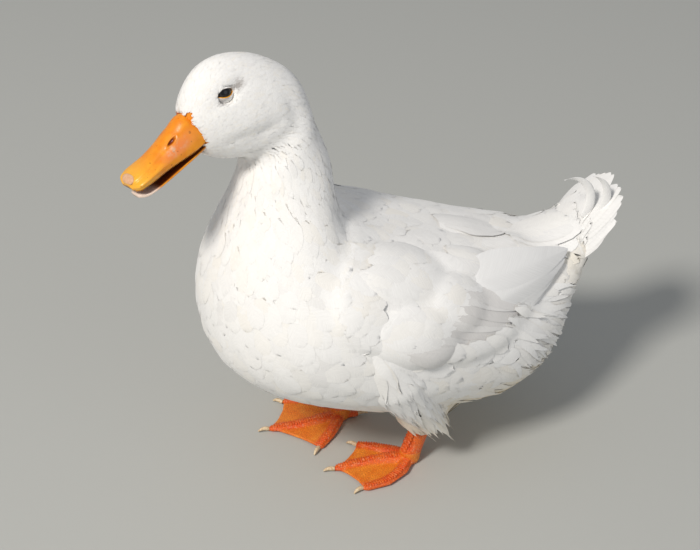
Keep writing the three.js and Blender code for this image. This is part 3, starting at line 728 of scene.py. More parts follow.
def scattered(points, apart):  # a dart is kept when no earlier one is nearer than its own distance
    cell = apart.max()
    keys = np.floor(points / mm / cell).astype(int)
    taken, kept = {}, []
    around = [(i, j, k) for i in (-1, 0, 1) for j in (-1, 0, 1) for k in (-1, 0, 1)]
    places = (points / mm).tolist()
    for index, (key, (x, y, z), room) in enumerate(zip(keys.tolist(), places, (apart ** 2).tolist())):
        others = (spot for i, j, k in around for spot in taken.get((key[0] + i, key[1] + j, key[2] + k), ()))
        if all((x - a) ** 2 + (y - b) ** 2 + (z - c) ** 2 >= room for a, b, c in others):
            taken.setdefault(tuple(key), []).append((x, y, z))
            kept.append(index)
    return np.array(kept)


def dartsOn(faces, perFeather):  # candidate places over some faces of the coat's base
    corners = basePoints[baseFaces[faces]]
    area = np.linalg.norm(np.cross(corners[:, 2] - corners[:, 0], corners[:, 3] - corners[:, 1]), axis=1) / 2
    middle = corners.mean(axis=1)
    _, sizes = blended(middle)
    wanted = area / (sizes[:, 2] * mm) ** 2 * perFeather
    count = int(wanted.sum())
    chosen = dice.choice(len(faces), count, p=wanted / wanted.sum())
    u, v = dice.random((2, count, 1))
    c = corners[chosen]
    return (c[:, 0] * (1 - u) + c[:, 1] * u) * (1 - v) + (c[:, 3] * (1 - u) + c[:, 2] * u) * v


# the feathers' edge on the cheek: up, forward
featherLine = [(4, -10), (0.6, -9), (-3, -6), (-7, -4), (-13, -1.5), (-19, -4), (-25, -9), (-40, 20)]


def billSide(head):  # how far a place lies on the bill's side of the feathers' edge
    heights, ahead = np.array(featherLine[::-1], float).T
    cheek = head[:, 1] - np.interp(head[:, 2], heights, ahead)
    return np.minimum(cheek, head[:, 1] + 0.82 * np.abs(head[:, 0]))


faceMiddles = basePoints[baseFaces].mean(axis=1)
faceBird, faceHead = toBird(faceMiddles), toHead(faceMiddles)
isHead = (faceHead[:, 2] > -62) & (faceHead[:, 1] > -104) & (faceBird[:, 2] > 315)
isNeck = ~isHead & (faceBird[:, 2] > 250) & (faceBird[:, 1] < -40)
isBody = ~isHead & ~isNeck
underWing = distanceInside(faceBird[:, 1], faceBird[:, 2], wingOutline) > 14
underWing &= np.abs(faceBird[:, 0]) > 12
underBill = billSide(faceHead) > 0.6

coatLooks = {
    "head": {"rows": 3, "columns": 2, "stray": 0.1, "bend": 0.03, "root": 0.5, "shoulder": 0.45, "tip": 2.0,
             "rise": 1.0, "uneven": 0.02, "dome": 0.03, "droop": 0.1, "thick": 0.12},
    "neck": {"rows": 4, "columns": 2, "stray": 0.12, "bend": 0.05, "root": 0.4, "shoulder": 0.5, "tip": 1.7,
             "rise": 1.0, "uneven": 0.03, "dome": 0.03, "droop": 0.1, "thick": 0.12},
    "body": {"rows": 6, "columns": 4, "stray": 0.12, "bend": 0.05, "root": 0.5, "shoulder": 0.5, "tip": 2.0,
             "rise": 1.0, "uneven": 0.06, "dome": 0.015, "droop": 0.12, "thick": 0.15},
    "fluff": {"rows": 8, "columns": 2, "stray": 0.16, "bend": 0.12, "root": 0.5, "shoulder": 0.35, "tip": 1.2,
              "rise": 1.3, "uneven": 0.9, "dome": 0.03, "droop": 0.1, "thick": 0.15},
}
eyeRoom = {"long": 6.6, "high": 3.5, "forward": -36.4, "up": 2.3}  # bare lid round the eye


def clearOfEyes(roots, toward, long, scale=1.0):
    free = np.ones(len(roots), bool)
    for share in (0, 0.5, 1):
        spots = toHead(roots + unit(toward) * (long * share * mm)[:, None])
        ahead = (spots[:, 1] - eyeRoom["forward"]) / eyeRoom["long"]
        above = (spots[:, 2] - eyeRoom["up"]) / eyeRoom["high"]
        free &= (ahead ** 2 + above ** 2 > scale ** 2) | (np.abs(spots[:, 0]) < 10)
    return free


def growCoat(part, faces):
    darts = dartsOn(np.nonzero(faces)[0], 14)
    toward, sizes = blended(darts)
    if part in ("body", "fluff"):
        loose = (sizes[:, 5] > 0.62) == (part == "fluff")
        darts, toward, sizes = darts[loose], toward[loose], sizes[loose]
    if part == "fluff":
        sizes[:, :3] *= [1.4, 0.58, 0.68]
    if part in ("body", "neck"):
        sizes[:, 2] *= 0.86
    kept = scattered(darts, sizes[:, 2])
    roots, toward, sizes = darts[kept], toward[kept], sizes[kept][:, [0, 1, 3, 4, 5]]
    if part == "head":
        free = clearOfEyes(roots, toward, sizes[:, 0])
        roots, toward, sizes = roots[free], toward[free], sizes[free]
    sizes = sizes * dice.normal(1, [0.1, 0.08, 0.05, 0.05, 0.2], sizes.shape)
    batch = layFeathers(roots, toward, sizes, coatLooks[part])
    print(part, "feathers:", len(roots))
    return batch


def pickBatch(batch, which):
    return {k: (v[which] if k in ("points", "vane", "roots", "unwrapped") else v) for k, v in batch.items()}


plumage = {"white": "#fbfaf8", "cream": "#e6cf98", "shade": "#aca5a0"}


def toneRamp(tree, paint):  # tone runs from -1, shaded grey, over white to 1, cream
    tone = addNode(tree, "ShaderNodeAttribute", attribute_name="tone")
    reach = {"Value": tone.outputs["Fac"], "From Min": -1, "From Max": 1}
    spread = addNode(tree, "ShaderNodeMapRange", reach)
    ramp = addNode(tree, "ShaderNodeValToRGB", {"Fac": spread.outputs["Result"]})
    ramp.color_ramp.elements[0].color = linear(paint["shade"])
    ramp.color_ramp.elements[1].color = linear(paint["cream"])
    ramp.color_ramp.elements.new(0.5).color = linear(paint["white"])
    return ramp.outputs["Color"]


def featherMaterial(name, paint):  # barbs aslant from the shaft, drawn coarser than life so that they show
    material, tree, shader = newMaterial(name, {
        "Roughness": paint["rough"], "Specular IOR Level": 0.3, "Sheen Weight": 0.15, "Sheen Roughness": 0.5})
    tone = toneRamp(tree, paint)
    vane = addNode(tree, "ShaderNodeUVMap", uv_map="Vane")
    axes = addNode(tree, "ShaderNodeSeparateXYZ", {"Vector": vane.outputs["UV"]})
    aside = addNode(tree, "ShaderNodeMath", {0: axes.outputs["X"]}, operation="ABSOLUTE").outputs[0]
    back = addNode(tree, "ShaderNodeMath", {0: aside, 1: -paint["slant"]}, operation="MULTIPLY").outputs[0]
    barb = addNode(tree, "ShaderNodeMath", {0: axes.outputs["Y"], 1: back}, operation="ADD").outputs[0]
    fine = addNode(tree, "ShaderNodeMath", {0: barb, 1: 100 / paint["apart"]}, operation="MULTIPLY")
    loose = addNode(tree, "ShaderNodeMath", {0: axes.outputs["X"], 1: 100 / paint["run"]},
                    operation="MULTIPLY")
    place = addNode(tree, "ShaderNodeCombineXYZ", {"X": fine.outputs[0], "Y": loose.outputs[0]})
    noise = addNode(tree, "ShaderNodeTexNoise", {"Vector": place.outputs[0], "Scale": 1.0, "Detail": 2.0})
    reach = {"Value": noise.outputs["Fac"], "From Min": 0.3, "From Max": 0.7, "To Min": paint["dark"]}
    streak = addNode(tree, "ShaderNodeMapRange", reach)
    colour = addNode(tree, "ShaderNodeMix", {"Factor": 1.0, "A": tone, "B": streak.outputs["Result"]},
                     data_type="RGBA", blend_type="MULTIPLY")
    tree.links.new(colour.outputs["Result"], shader.inputs["Base Color"])
    relief = {"Strength": paint["bump"], "Distance": 0.6 * mm, "Height": noise.outputs["Fac"]}
    bump = addNode(tree, "ShaderNodeBump", relief)
    tree.links.new(bump.outputs["Normal"], shader.inputs["Normal"])
    return material


contourWhite = featherMaterial("white_contour_feathers", {  # loose matt barbs, soft to the eye
    **plumage, "slant": 0.9, "apart": 0.9, "run": 7, "dark": 0.93, "bump": 0.35, "rough": 0.8})
flightWhite = featherMaterial("white_flight_feathers", {  # zipped barbs, a faint silk
    "white": "#f4f3f1", "cream": "#eedcc4", "shade": "#b9bdc4",
    "slant": 1.1, "apart": 1.3, "run": 16, "dark": 0.94, "bump": 0.25, "rough": 0.55})

headBatch = growCoat("head", isHead & ~underBill)
neckBatch = growCoat("neck", isNeck)
bodyBatch = growCoat("body", isBody & ~underWing)
fluffBatch = growCoat("fluff", isBody & ~underWing)
featherPiece("head_feathers", [headBatch], "plumage", contourWhite)
featherPiece("neck_feathers", [neckBatch], "plumage", contourWhite)
front = toBird(bodyBatch["roots"])[:, 1] < -30
featherPiece("front_feathers", [pickBatch(bodyBatch, front)], "plumage", contourWhite)
featherPiece("rear_feathers", [pickBatch(bodyBatch, ~front)], "plumage", contourWhite)
featherPiece("vent_fluff", [fluffBatch], "plumage", contourWhite)

# wings: rows of coverts laid from the rear forward, each over the one behind it
pillows = [  # soft swellings of the folded wing: middle, half lengths along and across, height
    {"at": (70, -14, 226), "along": (0.0, 1, -0.3), "half": (50, 35), "high": 9},
    {"at": (106, -10, 178), "along": (0.0, 1, -0.2), "half": (42, 31), "high": 8},
    {"at": (88, 32, 198), "along": (0.0, 1, -0.15), "half": (31, 29), "high": 7},
    {"at": (50, 52, 212), "along": (0.0, 1, -0.1), "half": (44, 19), "high": 7},
    {"at": (24, 96, 203), "along": (-0.3, 1, 0), "half": (32, 15), "high": 4},
    {"at": (0, 66, 214), "along": (0, 1, 0), "half": (44, 22), "high": 5},
    {"at": (98, -58, 168), "along": (0, 1, -0.8), "half": (26, 15), "high": 5},
]


def pillowHeight(bird, side):
    height = np.zeros(len(bird))
    for pillow in pillows:
        away = (bird - pillow["at"] * np.array([side, 1, 1]))
        along = away @ unit(np.array(pillow["along"], float) * [side, 1, 1])
        across = np.sqrt(np.maximum((away ** 2).sum(axis=1) - along ** 2, 0))
        near = (along / pillow["half"][0]) ** 2 + (across / pillow["half"][1]) ** 2
        height = np.maximum(height, pillow["high"] * np.maximum(1 - near, 0) ** (0.65 if side > 0 else 1.0))
    return height * (1 if side > 0 else 0.5)


wingMesh = coatBase.copy()
movePoints(wingMesh, relaxed(pointsOf(wingMesh), edgesOf(wingMesh), 30))
spots, ways = pointsOf(wingMesh), normalsOf(wingMesh)
raised = np.maximum(pillowHeight(toBird(spots), 1), pillowHeight(toBird(spots), -1))
waves = toBird(spots) / [17, 11, 9]
waveAlong = np.sin(waves[:, 1] + 1.7 * np.sin(waves[:, 2]))
raised += 0.55 * waveAlong * np.sin(waves[:, 2] + 1.3 * np.sin(waves[:, 0]))
movePoints(wingMesh, relaxed(spots + ways * raised[:, None] * mm, edgesOf(wingMesh), 3))
wingPoints, wingNormals = pointsOf(wingMesh), normalsOf(wingMesh)
wingTree = BVHTree.FromPolygons(wingPoints.tolist(), baseFaces.tolist())


def nearestOnWing(points):
    return nearestOn(wingTree, wingPoints, wingNormals, points)


def roundBody(y, angle, side=1):  # a place on the wing's base: y, and the angle from straight up
    spots = []
    for a, b in zip(np.atleast_1d(y), np.radians(np.atleast_1d(angle))):
        start, way = place((0, a, 160)), Vector((side * math.sin(b), 0, math.cos(b)))
        spot = wingTree.ray_cast(Vector(start) + way * 0.25, -way)[0]
        spots.append(spot if spot else start)
    return np.array(spots)


def alongCurve(knots, count, jitter=0.0):
    knots = np.array(knots, float)
    steps = np.linspace(0, len(knots) - 1, count) + dice.normal(0, jitter, count)
    steps = np.clip(steps, 0, len(knots) - 1)
    return np.column_stack([np.interp(steps, np.arange(len(knots)), column) for column in knots.T])


vaneLook = {"rows": 14, "columns": 8, "crowd": 1.5, "stray": 0.03, "bend": 0.02, "root": 0.35,
            "shoulder": 0.62, "tip": 2.2, "rise": 1.0, "uneven": 0.1, "dome": 0.02, "droop": 0.2,
            "thick": 0.15, "shaft": 0.15}
wingRows = [  # roots and tips: (y, angle from straight up); lift: root and tip, over the base; a tone below 0 is painted shade, darkest on the secondaries
    {"name": "secondaries", "roots": [(40, 64), (22, 76), (2, 84), (-22, 84)], "count": 12, "wide": 18,
     "tips": [(99, 81), (82, 88), (58, 96), (26, 94)], "lift": (1.2, 3.4), "creamOrShade": -0.3, "tilt": 0.1},
    {"name": "lower_coverts", "roots": [(-20, 74), (-38, 76), (-55, 78)], "count": 9, "wide": 26,
     "tips": [(22, 88), (-2, 95), (-22, 92)], "lift": (0.6, 1.5), "creamOrShade": 0.0},
    {"name": "middle_coverts", "roots": [(44, 46), (26, 60), (10, 70), (-4, 78)], "count": 9, "wide": 25,
     "tips": [(82, 56), (64, 70), (50, 81), (26, 87)], "lift": (0.6, 1.5), "creamOrShade": -0.03},
    {"name": "fore_coverts", "roots": [(-20, 44), (-38, 46), (-58, 48), (-74, 50)], "count": 10, "wide": 27,
     "tips": [(20, 56), (0, 64), (-24, 63), (-44, 62)], "lift": (0.6, 1.5), "creamOrShade": 0.0},
    {"name": "second_tertial", "roots": [(72, 26), (78, 24)], "count": 2, "wide": 40,
     "tips": [(118, 14), (128, 4)], "lift": (1.5, 3.2), "creamOrShade": -0.1},
    {"name": "first_tertial", "roots": [(50, 2), (46, -4)], "count": 2, "wide": 42,
     "tips": [(108, -6), (113, -22)], "lift": (2.2, 4.4), "creamOrShade": -0.1},
    {"name": "scapulars", "roots": [(44, 26), (34, 44)], "count": 4, "wide": 28,
     "tips": [(94, 28), (80, 53)], "lift": (0.8, 2.0), "creamOrShade": -0.03},
    {"name": "rump_lobe", "roots": [(104, 8), (110, 30)], "count": 4, "wide": 36,
     "tips": [(170, 4), (179, 24)], "lift": (4.0, 8.4), "creamOrShade": -0.05},
]


def layRow(row, side):
    count = row["count"]
    rootAt, tipAt = alongCurve(row["roots"], count, 0.04), alongCurve(row["tips"], count, 0.05)
    roots, tips = roundBody(*rootAt.T, side), roundBody(*tipAt.T, side)
    toward = tips - roots
    sizes = np.column_stack([
        np.linalg.norm(toward, axis=1) / mm * dice.normal(1.03, 0.03, count),
        row["wide"] * dice.normal(1, 0.06, count),
        np.full(count, row["lift"][0]), np.full(count, row["lift"][1]), np.full(count, row.get("shag", 0.12)),
    ])
    if side < 0:
        sizes[:, 3] = np.minimum(sizes[:, 3], 1.3)
    return layFeathers(roots, toward, sizes, dict(vaneLook, straight=True), nearestOnWing,
                       tilt=row.get("tilt", 0.04) * side, creamOrShade=row["creamOrShade"])


lockLook = {"rows": 10, "columns": 4, "stray": 0.05, "bend": 0.05, "root": 0.5, "shoulder": 0.4, "tip": 1.25,
            "rise": 1.4, "uneven": 0.5, "dome": 0.04, "droop": 0.0, "thick": 0.2}
drape = {
    "from": (93, -52, 186), "to": (72, 20, 62), "farther": [14, -38, 0],  # of the right leg
    "radii": ([0, 0.2, 0.45, 0.7, 0.9, 1.15], [15, 25, 29, 22, 15, 8]),
    "apart": 4.0, "long": 44, "wide": 7.5, "lift": (0.4, 1.8), "fan": (-120, 105),
    "starts": (0.8, 0.72, 0.63, 0.54, 0.45, 0.36, 0.27, 0.18, 0.1, 0.03),
}


def onDrape(side):
    shift = np.array([side, 1, 1])
    start, end = drape["from"] * shift, drape["to"] * shift
    if side < 0:
        start, end = start + drape["farther"], end + drape["farther"]
    way = end - start

    def laid(points):
        bird = toBird(points)
        along = (bird - start) @ way / (way @ way)
        middle = start + along[:, None] * way
        out = unit(bird - middle)
        return place(middle + out * np.interp(along, *drape["radii"])[:, None]), out
    return start, way, laid


def layDrape(side):  # hair-like tufts that hang from the flank over the thigh, the lowest laid first
    start, way, laid = onDrape(side)
    ahead = unit(way)
    outward = unit(np.array([side, 0, 0]) - ahead * ahead[0] * side)
    third = np.cross(ahead, outward) * side
    batches = []
    for row, share in enumerate(drape["starts"]):
        radius = np.interp(share, *drape["radii"])
        angles = np.arange(drape["fan"][0], drape["fan"][1], math.degrees(drape["apart"] / radius))
        angles = np.radians(angles + dice.normal(0, 3, len(angles)))[:, None]
        roots = start + way * (share + dice.normal(0, 0.03, len(angles)))[:, None]
        roots = place(roots + (outward * np.cos(angles) + third * np.sin(angles)) * radius)
        splay = ahead + third * np.sin(angles) * 0.25
        sizes = np.tile([drape["long"], drape["wide"], *drape["lift"], 0.7], (len(roots), 1))
        sizes = sizes * dice.normal(1, [0.14, 0.15, 0.1, 0.1, 0.1], sizes.shape)
        batches.append(layFeathers(roots, splay, sizes, lockLook, laid))
    return batches


def growUnderWing(side):  # a plain layer that fills whatever the rows leave open
    onSide = underWing & (faceBird[:, 0] * side > 0)
    darts = dartsOn(np.nonzero(onSide)[0], 10)
    kept = scattered(darts, np.full(len(darts), 8.0))
    roots = darts[kept]
    toward = np.column_stack([np.zeros(len(kept)), np.ones(len(kept)), -0.004 * np.abs(toBird(roots)[:, 0])])
    sizes = np.tile([34, 19, 0.8, 1.7, 0.25], (len(kept), 1)) * dice.normal(1, 0.08, (len(kept), 5))
    look = dict(vaneLook, rows=8, columns=6, shoulder=0.5, tip=1.8, stray=0.12, uneven=0.12, shaft=0)
    return layFeathers(roots, toward, sizes, look, nearestOnWing)


bladeRibs = [  # y, out, top, low of the folded flight feathers
    (30, 103, 186, 138), (62, 93, 190, 136), (92, 79, 194, 148),
    (118, 65, 197, 164), (140, 52, 197, 179), (160, 42, 195, 190),
]
bladeLean = 0.28
flightPlan = {
    "count": 8, "wide": [50, 40, 26, 20, 18, 17, 17, 16], "step": 0.5, "lift": (-11.0, 2.4),
    "roots": [(40, -0.3), (36, 0.15), (36, 0.5), (32, 0.6), (28, 0.68), (24, 0.76), (20, 0.84), (16, 0.9)],
    "tips": [(155, 0.15), (150, 0.6), (138, 0.86), (124, 0.9), (110, 0.93), (97, 0.95), (84, 0.97),
             (72, 1.0)],
}


def onBlade(side):
    ribs = np.array(bladeRibs, float).T
    inward, down = (0, 0) if side > 0 else (8, 12)  # the far wing is pressed closer

    def laid(points):
        bird = toBird(points)

        def out(y, z):
            x, top, low = (np.interp(y, ribs[0], ribs[k]) for k in (1, 2, 3))
            z = z + down
            return x - inward + bladeLean * ((top + low) / 2 - z) - 0.03 * np.maximum(z - top + 16, 0) ** 1.8

        y, z = bird[:, 1], bird[:, 2]
        slopeY, slopeZ = out(y + 4, z) - out(y - 4, z), out(y, z + 4) - out(y, z - 4)
        normals = unit(np.column_stack([np.full(len(y), 1.0), -slopeY / 8, -slopeZ / 8])) * [side, 1, 1]
        return place(np.column_stack([side * out(y, z), y, z])), normals
    return laid


def layFlight(side):
    plan = flightPlan
    ribs = np.array(bladeRibs, float).T
    count = plan["count"]

    def onPlan(spots):
        y, part = np.array(spots, float).T
        x, top, low = (np.interp(y, ribs[0], ribs[k]) for k in (1, 2, 3))
        return place(np.column_stack([side * x, y, top + (low - top) * part - (12 if side < 0 else 0)]))

    roots, tips = onPlan(plan["roots"]), onPlan(plan["tips"])
    toward = tips - roots
    below = plan["step"] * np.arange(count)
    sizes = np.column_stack([np.linalg.norm(toward, axis=1) / mm, plan["wide"], plan["lift"][0] - below,
                             plan["lift"][1] - below, np.full(count, 0.05)])
    look = dict(vaneLook, shoulder=0.42, tip=1.3, root=0.6, stray=0.0, bend=0.0, uneven=0.04, dome=0.05,
                rise=0.45, shaft=0.6, straight=True)
    # the flight feathers are greyed a little as painted shade
    return layFeathers(roots, toward, sizes, look, onBlade(side), tilt=0.03 * side, creamOrShade=-0.15)


for side, title in ((1, "left"), (-1, "right")):
    batches = [growUnderWing(side), *layDrape(side)] + [layRow(row, side) for row in wingRows]
    featherPiece("wing_feathers_" + title, batches, "plumage", contourWhite)
    featherPiece("flight_feathers_" + title, [layFlight(side)], "flight_feather", flightWhite,
                 "primaries_" + title)

# tail: a fan of pointed feathers, coverts over and under it, and two curled feathers
fan = {"root": (0, 150, 176), "rise": 41, "spread": 50, "long": 88, "side": 59, "arch": 14}
fanUp = np.array([0, -math.sin(math.radians(fan["rise"])), math.cos(math.radians(fan["rise"]))])
fanOut = np.array([0, math.cos(math.radians(fan["rise"])), math.sin(math.radians(fan["rise"]))])


def onFan(side, thick):  # side 1 over the fan, -1 under it
    def drop(across, along):
        far, turn = np.hypot(across, along), np.degrees(np.arctan2(across, along)) / fan["spread"]
        edge = fan["long"] + (fan["side"] - fan["long"]) * np.clip(turn ** 2, 0, 1)
        return -fan["arch"] * turn ** 2 * far / edge

    def laid(points):
        bird = toBird(points) - fan["root"]
        across, along = bird[:, 0], np.maximum(bird @ fanOut, 8)
        slopeX = (drop(across + 1, along) - drop(across - 1, along)) / 2
        slopeY = (drop(across, along + 1) - drop(across, along - 1)) / 2
        normals = unit(fanUp - slopeX[:, None] * [1, 0, 0] - slopeY[:, None] * fanOut) * side
        half = thick * np.clip(1 - along / 80, 0.0, 1)
        spots = np.column_stack([across, np.zeros((len(across), 2))]) + along[:, None] * fanOut
        return place(spots + (drop(across, along) + side * half)[:, None] * fanUp + fan["root"]), normals
    return laid


def layFan(plan, side):
    count = plan["count"]
    turn = np.linspace(-1, 1, count) * plan["spread"]
    angle = np.radians(fan["spread"] * np.where(turn < 0, 0.62, 0.92) * turn)
    reach = (fan["long"] + (fan["side"] - fan["long"]) * turn ** 2) * plan["reach"]
    way = np.sin(angle)[:, None] * [1, 0, 0] + np.cos(angle)[:, None] * fanOut
    start = plan["start"]
    roots = place(way * start + fan["root"])
    lift = plan["lift"] - plan["step"] * np.abs(turn) * count / 2
    sizes = np.column_stack([reach - start, np.full(count, plan["wide"]), lift, lift + plan["rise"],
                             np.full(count, plan.get("shag", 0.06))])
    sizes[:, 0] *= dice.normal(1, plan.get("ragged", 0.02), count)
    return layFeathers(roots, way, sizes, plan["look"], onFan(side, plan["thick"]),
                       tilt=0.04 * np.sign(turn) * side, creamOrShade=plan["creamOrShade"])


rectrixLook = dict(vaneLook, shoulder=0.5, tip=1.3, stray=0.01, uneven=0.04, dome=0.04, droop=0.0)
covertLook = dict(vaneLook, rows=10, columns=6, shoulder=0.5, tip=1.6, stray=0.06, uneven=0.15)
tailLayers = [  # side 1 over the fan, -1 under it; a tone below 0 greys a layer as painted shade
    {"side": 1, "count": 17, "spread": 0.97, "reach": 1.0, "start": 14, "wide": 33, "lift": 2.4, "step": 0.2,
     "rise": 0.1, "thick": 1.0, "creamOrShade": -0.05, "look": rectrixLook},
    {"side": 1, "count": 13, "spread": 0.9, "reach": 0.66, "start": 6, "wide": 28, "lift": 3.0, "step": 0.15,
     "rise": 0.6, "thick": 2.5, "creamOrShade": 0.0, "look": covertLook, "ragged": 0.08, "shag": 0.3},
    {"side": 1, "count": 10, "spread": 0.85, "reach": 0.42, "start": 0, "wide": 30, "lift": 4.0, "step": 0.15,
     "rise": 0.7, "thick": 4.0, "creamOrShade": 0.0, "look": covertLook, "ragged": 0.08, "shag": 0.3},
    {"side": -1, "count": 15, "spread": 0.97, "reach": 0.84, "start": 8, "wide": 22, "lift": 2.0, "step": 0.1,
     "rise": 0.6, "thick": 1.0, "creamOrShade": 0.0, "look": covertLook, "ragged": 0.08, "shag": 0.4},
    {"side": -1, "count": 12, "spread": 0.9, "reach": 0.58, "start": 4, "wide": 22, "lift": 3.4, "step": 0.1,
     "rise": 1.6, "thick": 3.0, "creamOrShade": 0.0, "look": covertLook, "ragged": 0.1, "shag": 0.5},
]
tailBatches = [layFan(plan, plan["side"]) for plan in tailLayers]
featherPiece("tail_feathers", tailBatches, "flight_feather", flightWhite, "tail_fan")

curls = [
    {"at": (13, 188, 227), "radius": 24, "start": -52, "sweep": 153, "wide": 4.0, "deep": 10.5, "lean": -4},
    {"at": (20, 200.5, 231), "radius": 27.5, "start": -42, "sweep": 108, "wide": 3.8, "deep": 9.5, "lean": 4},
]


def curlRings(curl, steps=30, count=14):
    t = np.linspace(0, 1, steps)[:, None]
    around = np.linspace(0, 2 * np.pi, count, endpoint=False)[None]
    angle = np.radians(curl["start"] + curl["sweep"] * t)
    shrink = (1 - 0.97 * t ** 1.7) * (0.55 + 0.45 * np.sin(np.clip(t * 4, 0, 1) * np.pi / 2))
    reach = curl["radius"] * (1 - 0.15 * t) + np.cos(around) * curl["deep"] / 2 * shrink
    x = np.sign(np.sin(around)) * np.abs(np.sin(around)) ** 1.4 * curl["wide"] / 2 * shrink
    x, z = x + 1.2 * np.cos(around) * t, reach * np.sin(angle)
    lean = math.radians(curl["lean"])
    leaned = x * math.cos(lean) + z * math.sin(lean)
    rings = np.stack([leaned, reach * np.cos(angle), z * math.cos(lean) - x * math.sin(lean)], -1)
    return place(rings + (np.array(curl["at"]) - [0, curl["radius"], 0]))


for index, curl in enumerate(curls):
    rings = curlRings(curl)
    mesh = closedMesh("tail_curl", rings)
    setValues(mesh, "tone", np.full(len(mesh.vertices), 0.0))
    step, turn = np.divmod(np.arange(len(mesh.vertices)), rings.shape[1])
    aside = np.abs(turn / rings.shape[1] - 0.5) * 0.2
    lengthwise = np.column_stack([aside, np.minimum(step, len(rings)) * 0.025])
    spot = unwrap(rings[:1].mean(axis=1)) + (lengthwise / lengthwise.max(axis=0) - 0.5) * patch
    setMaps(mesh, {"OFBake": spot, "Vane": lengthwise})
    piece = newPiece("curled_feather_%d" % (index + 1), mesh, flightWhite)
    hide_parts("tail_curl_%d" % (index + 1))
print("wings and tail are feathered")

# bill: upper half with a rolled rim, nail, nostrils, mouth and lower half, in the head's millimetres
bill = {
    "ribs": [  # forward, top, then forward and height of the lower edge, half width, squareness
        (-12, -1.8, -9, -24, 14.6, 2.1), (0, -0.1, -2, -25, 15.6, 2.1), (10, -3.9, 10, -25.4, 15.8, 2.0),
        (21, -8.2, 21, -25.2, 15.6, 2.0), (33, -12.6, 33, -25.2, 15.7, 2.2),
        (44, -15.8, 44, -25.8, 16.4, 2.5), (52, -17.8, 52, -26.4, 16.2, 2.7),
        (58, -19.6, 57.8, -27.0, 14.0, 2.5), (61.2, -22.4, 61, -27.2, 7, 2.1),
    ],
    "rim": {"at": 72, "reach": 12, "base": 0.3, "tip": 1.7, "groove": 0.8},
    "nostril": {"forward": 16.5, "at": 37, "long": 3.9, "high": 1.2, "deep": 2.2},
    "nail": {"start": 0.8, "wide": 24, "thick": 0.6},  # its start along the bill, its width in degrees
}
lowerBillRibs = [  # forward, top, low, half width
    (-8, -25.8, -31, 13.2), (6, -27.4, -32.6, 14.6), (22, -29.6, -34.4, 14.9), (38, -31.6, -36, 15.0),
    (48, -32.0, -37.4, 14.4), (54, -32.6, -38.2, 11.6), (58.5, -34.0, -37.4, 5.5),
]


def through(knots, t):  # smooth curve through knots, t from 0 to 1
    knots = np.asarray(knots, float)
    x = np.clip(np.asarray(t) * (len(knots) - 1), 0, len(knots) - 1.000001)
    i = x.astype(int)
    f = (x - i)[..., None]
    a, b, c, d = (knots[np.clip(i + k, 0, len(knots) - 1)] for k in (-1, 0, 1, 2))
    curve = 2 * b + (c - a) * f + (2 * a - 5 * b + 4 * c - d) * f ** 2
    return 0.5 * (curve + (3 * b - a - 3 * c + d) * f ** 3)


def billTop(angle, t):  # angle in degrees from the ridge, t along the bill
    rib = through(bill["ribs"], t)
    turn = np.radians(angle)
    sine, cosine = np.sin(turn), np.maximum(np.cos(turn), 0)
    power = 2 / rib[..., 5]
    out, height = np.sign(sine) * np.abs(sine) ** power, cosine ** power
    side = np.abs(angle)
    rim = bill["rim"]
    grown = rim["base"] + (rim["tip"] - rim["base"]) * smoothstep(rib[..., 0], 5, 50)
    bulge = grown * (np.exp(-((side - rim["at"]) / rim["reach"]) ** 2)
                     - rim["groove"] * np.exp(-((side - rim["at"] + 25) / 9) ** 2))
    forward = rib[..., 2] + (rib[..., 0] - rib[..., 2]) * height
    hollow = 0.5 * np.exp(-((side - 38) / 12) ** 2) * smoothstep(forward, 12, 28)
    bulge = bulge - hollow * smoothstep(forward, 52, 36)
    up = rib[..., 3] + (rib[..., 1] - rib[..., 3]) * height + bulge * cosine * 0.7
    return np.stack([rib[..., 4] * out + bulge * np.sign(sine) * np.abs(sine), forward, up], -1)


def billRings(rings, upper, under):
    t = (1 - (1 - np.linspace(0, 1, rings)) ** 1.3)[:, None]
    angle = np.linspace(-90, 90, upper)[None]
    top = billTop(angle + 0 * t, t + 0 * angle)
    left, right = top[:, :1], top[:, -1:]
    w = np.linspace(0, 1, under + 2)[1:-1][None, :, None]
    palate = right + (left - right) * w
    palate[..., 2] += 3.2 * np.sin(np.pi * w[..., 0]) ** 0.7 * (1 - t ** 6) + 0.3
    return np.concatenate([top, palate], axis=1), t


rings, steps = billRings(110, 120, 30)
side = np.concatenate([np.abs(np.linspace(-90, 90, 120)), np.full(30, 180.0)])[None] + 0 * steps
hole = bill["nostril"]
ahead = (rings[..., 1] - hole["forward"]) / hole["long"]
around = (side - hole["at"]) / (hole["high"] * 4.2)
near = ahead ** 2 + around ** 2
openedHole = np.exp(-near ** 2)
lipped = np.exp(-((np.sqrt(near) - 1.45) / 0.35) ** 2)
belowHole = np.exp(-((rings[..., 1] - hole["forward"] - 1) / 4) ** 2 - ((side - hole["at"] - 13) / 5) ** 2)
middle = rings.mean(axis=1, keepdims=True)
outward = unit(rings - middle * [1, 0, 1] - rings * [0, 1, 0])
rings = rings + outward * (0.35 * lipped + 0.5 * belowHole - hole["deep"] * openedHole)[..., None]
billMesh = closedMesh("bill", inHead(rings))


def markHorn(mesh, marks):  # values by name, or one for all; the two end points take those of the last ring
    count = len(mesh.vertices)
    for name in ("yellow", "salmon", "dark", "worn", "pale"):
        values = marks.get(name, 0)
        if isinstance(values, np.ndarray):
            values = np.concatenate([values.ravel(), np.full(count - values.size, values[-1].mean())])
        if name in marks or name != "pale":
            setValues(mesh, name, np.broadcast_to(values, count))


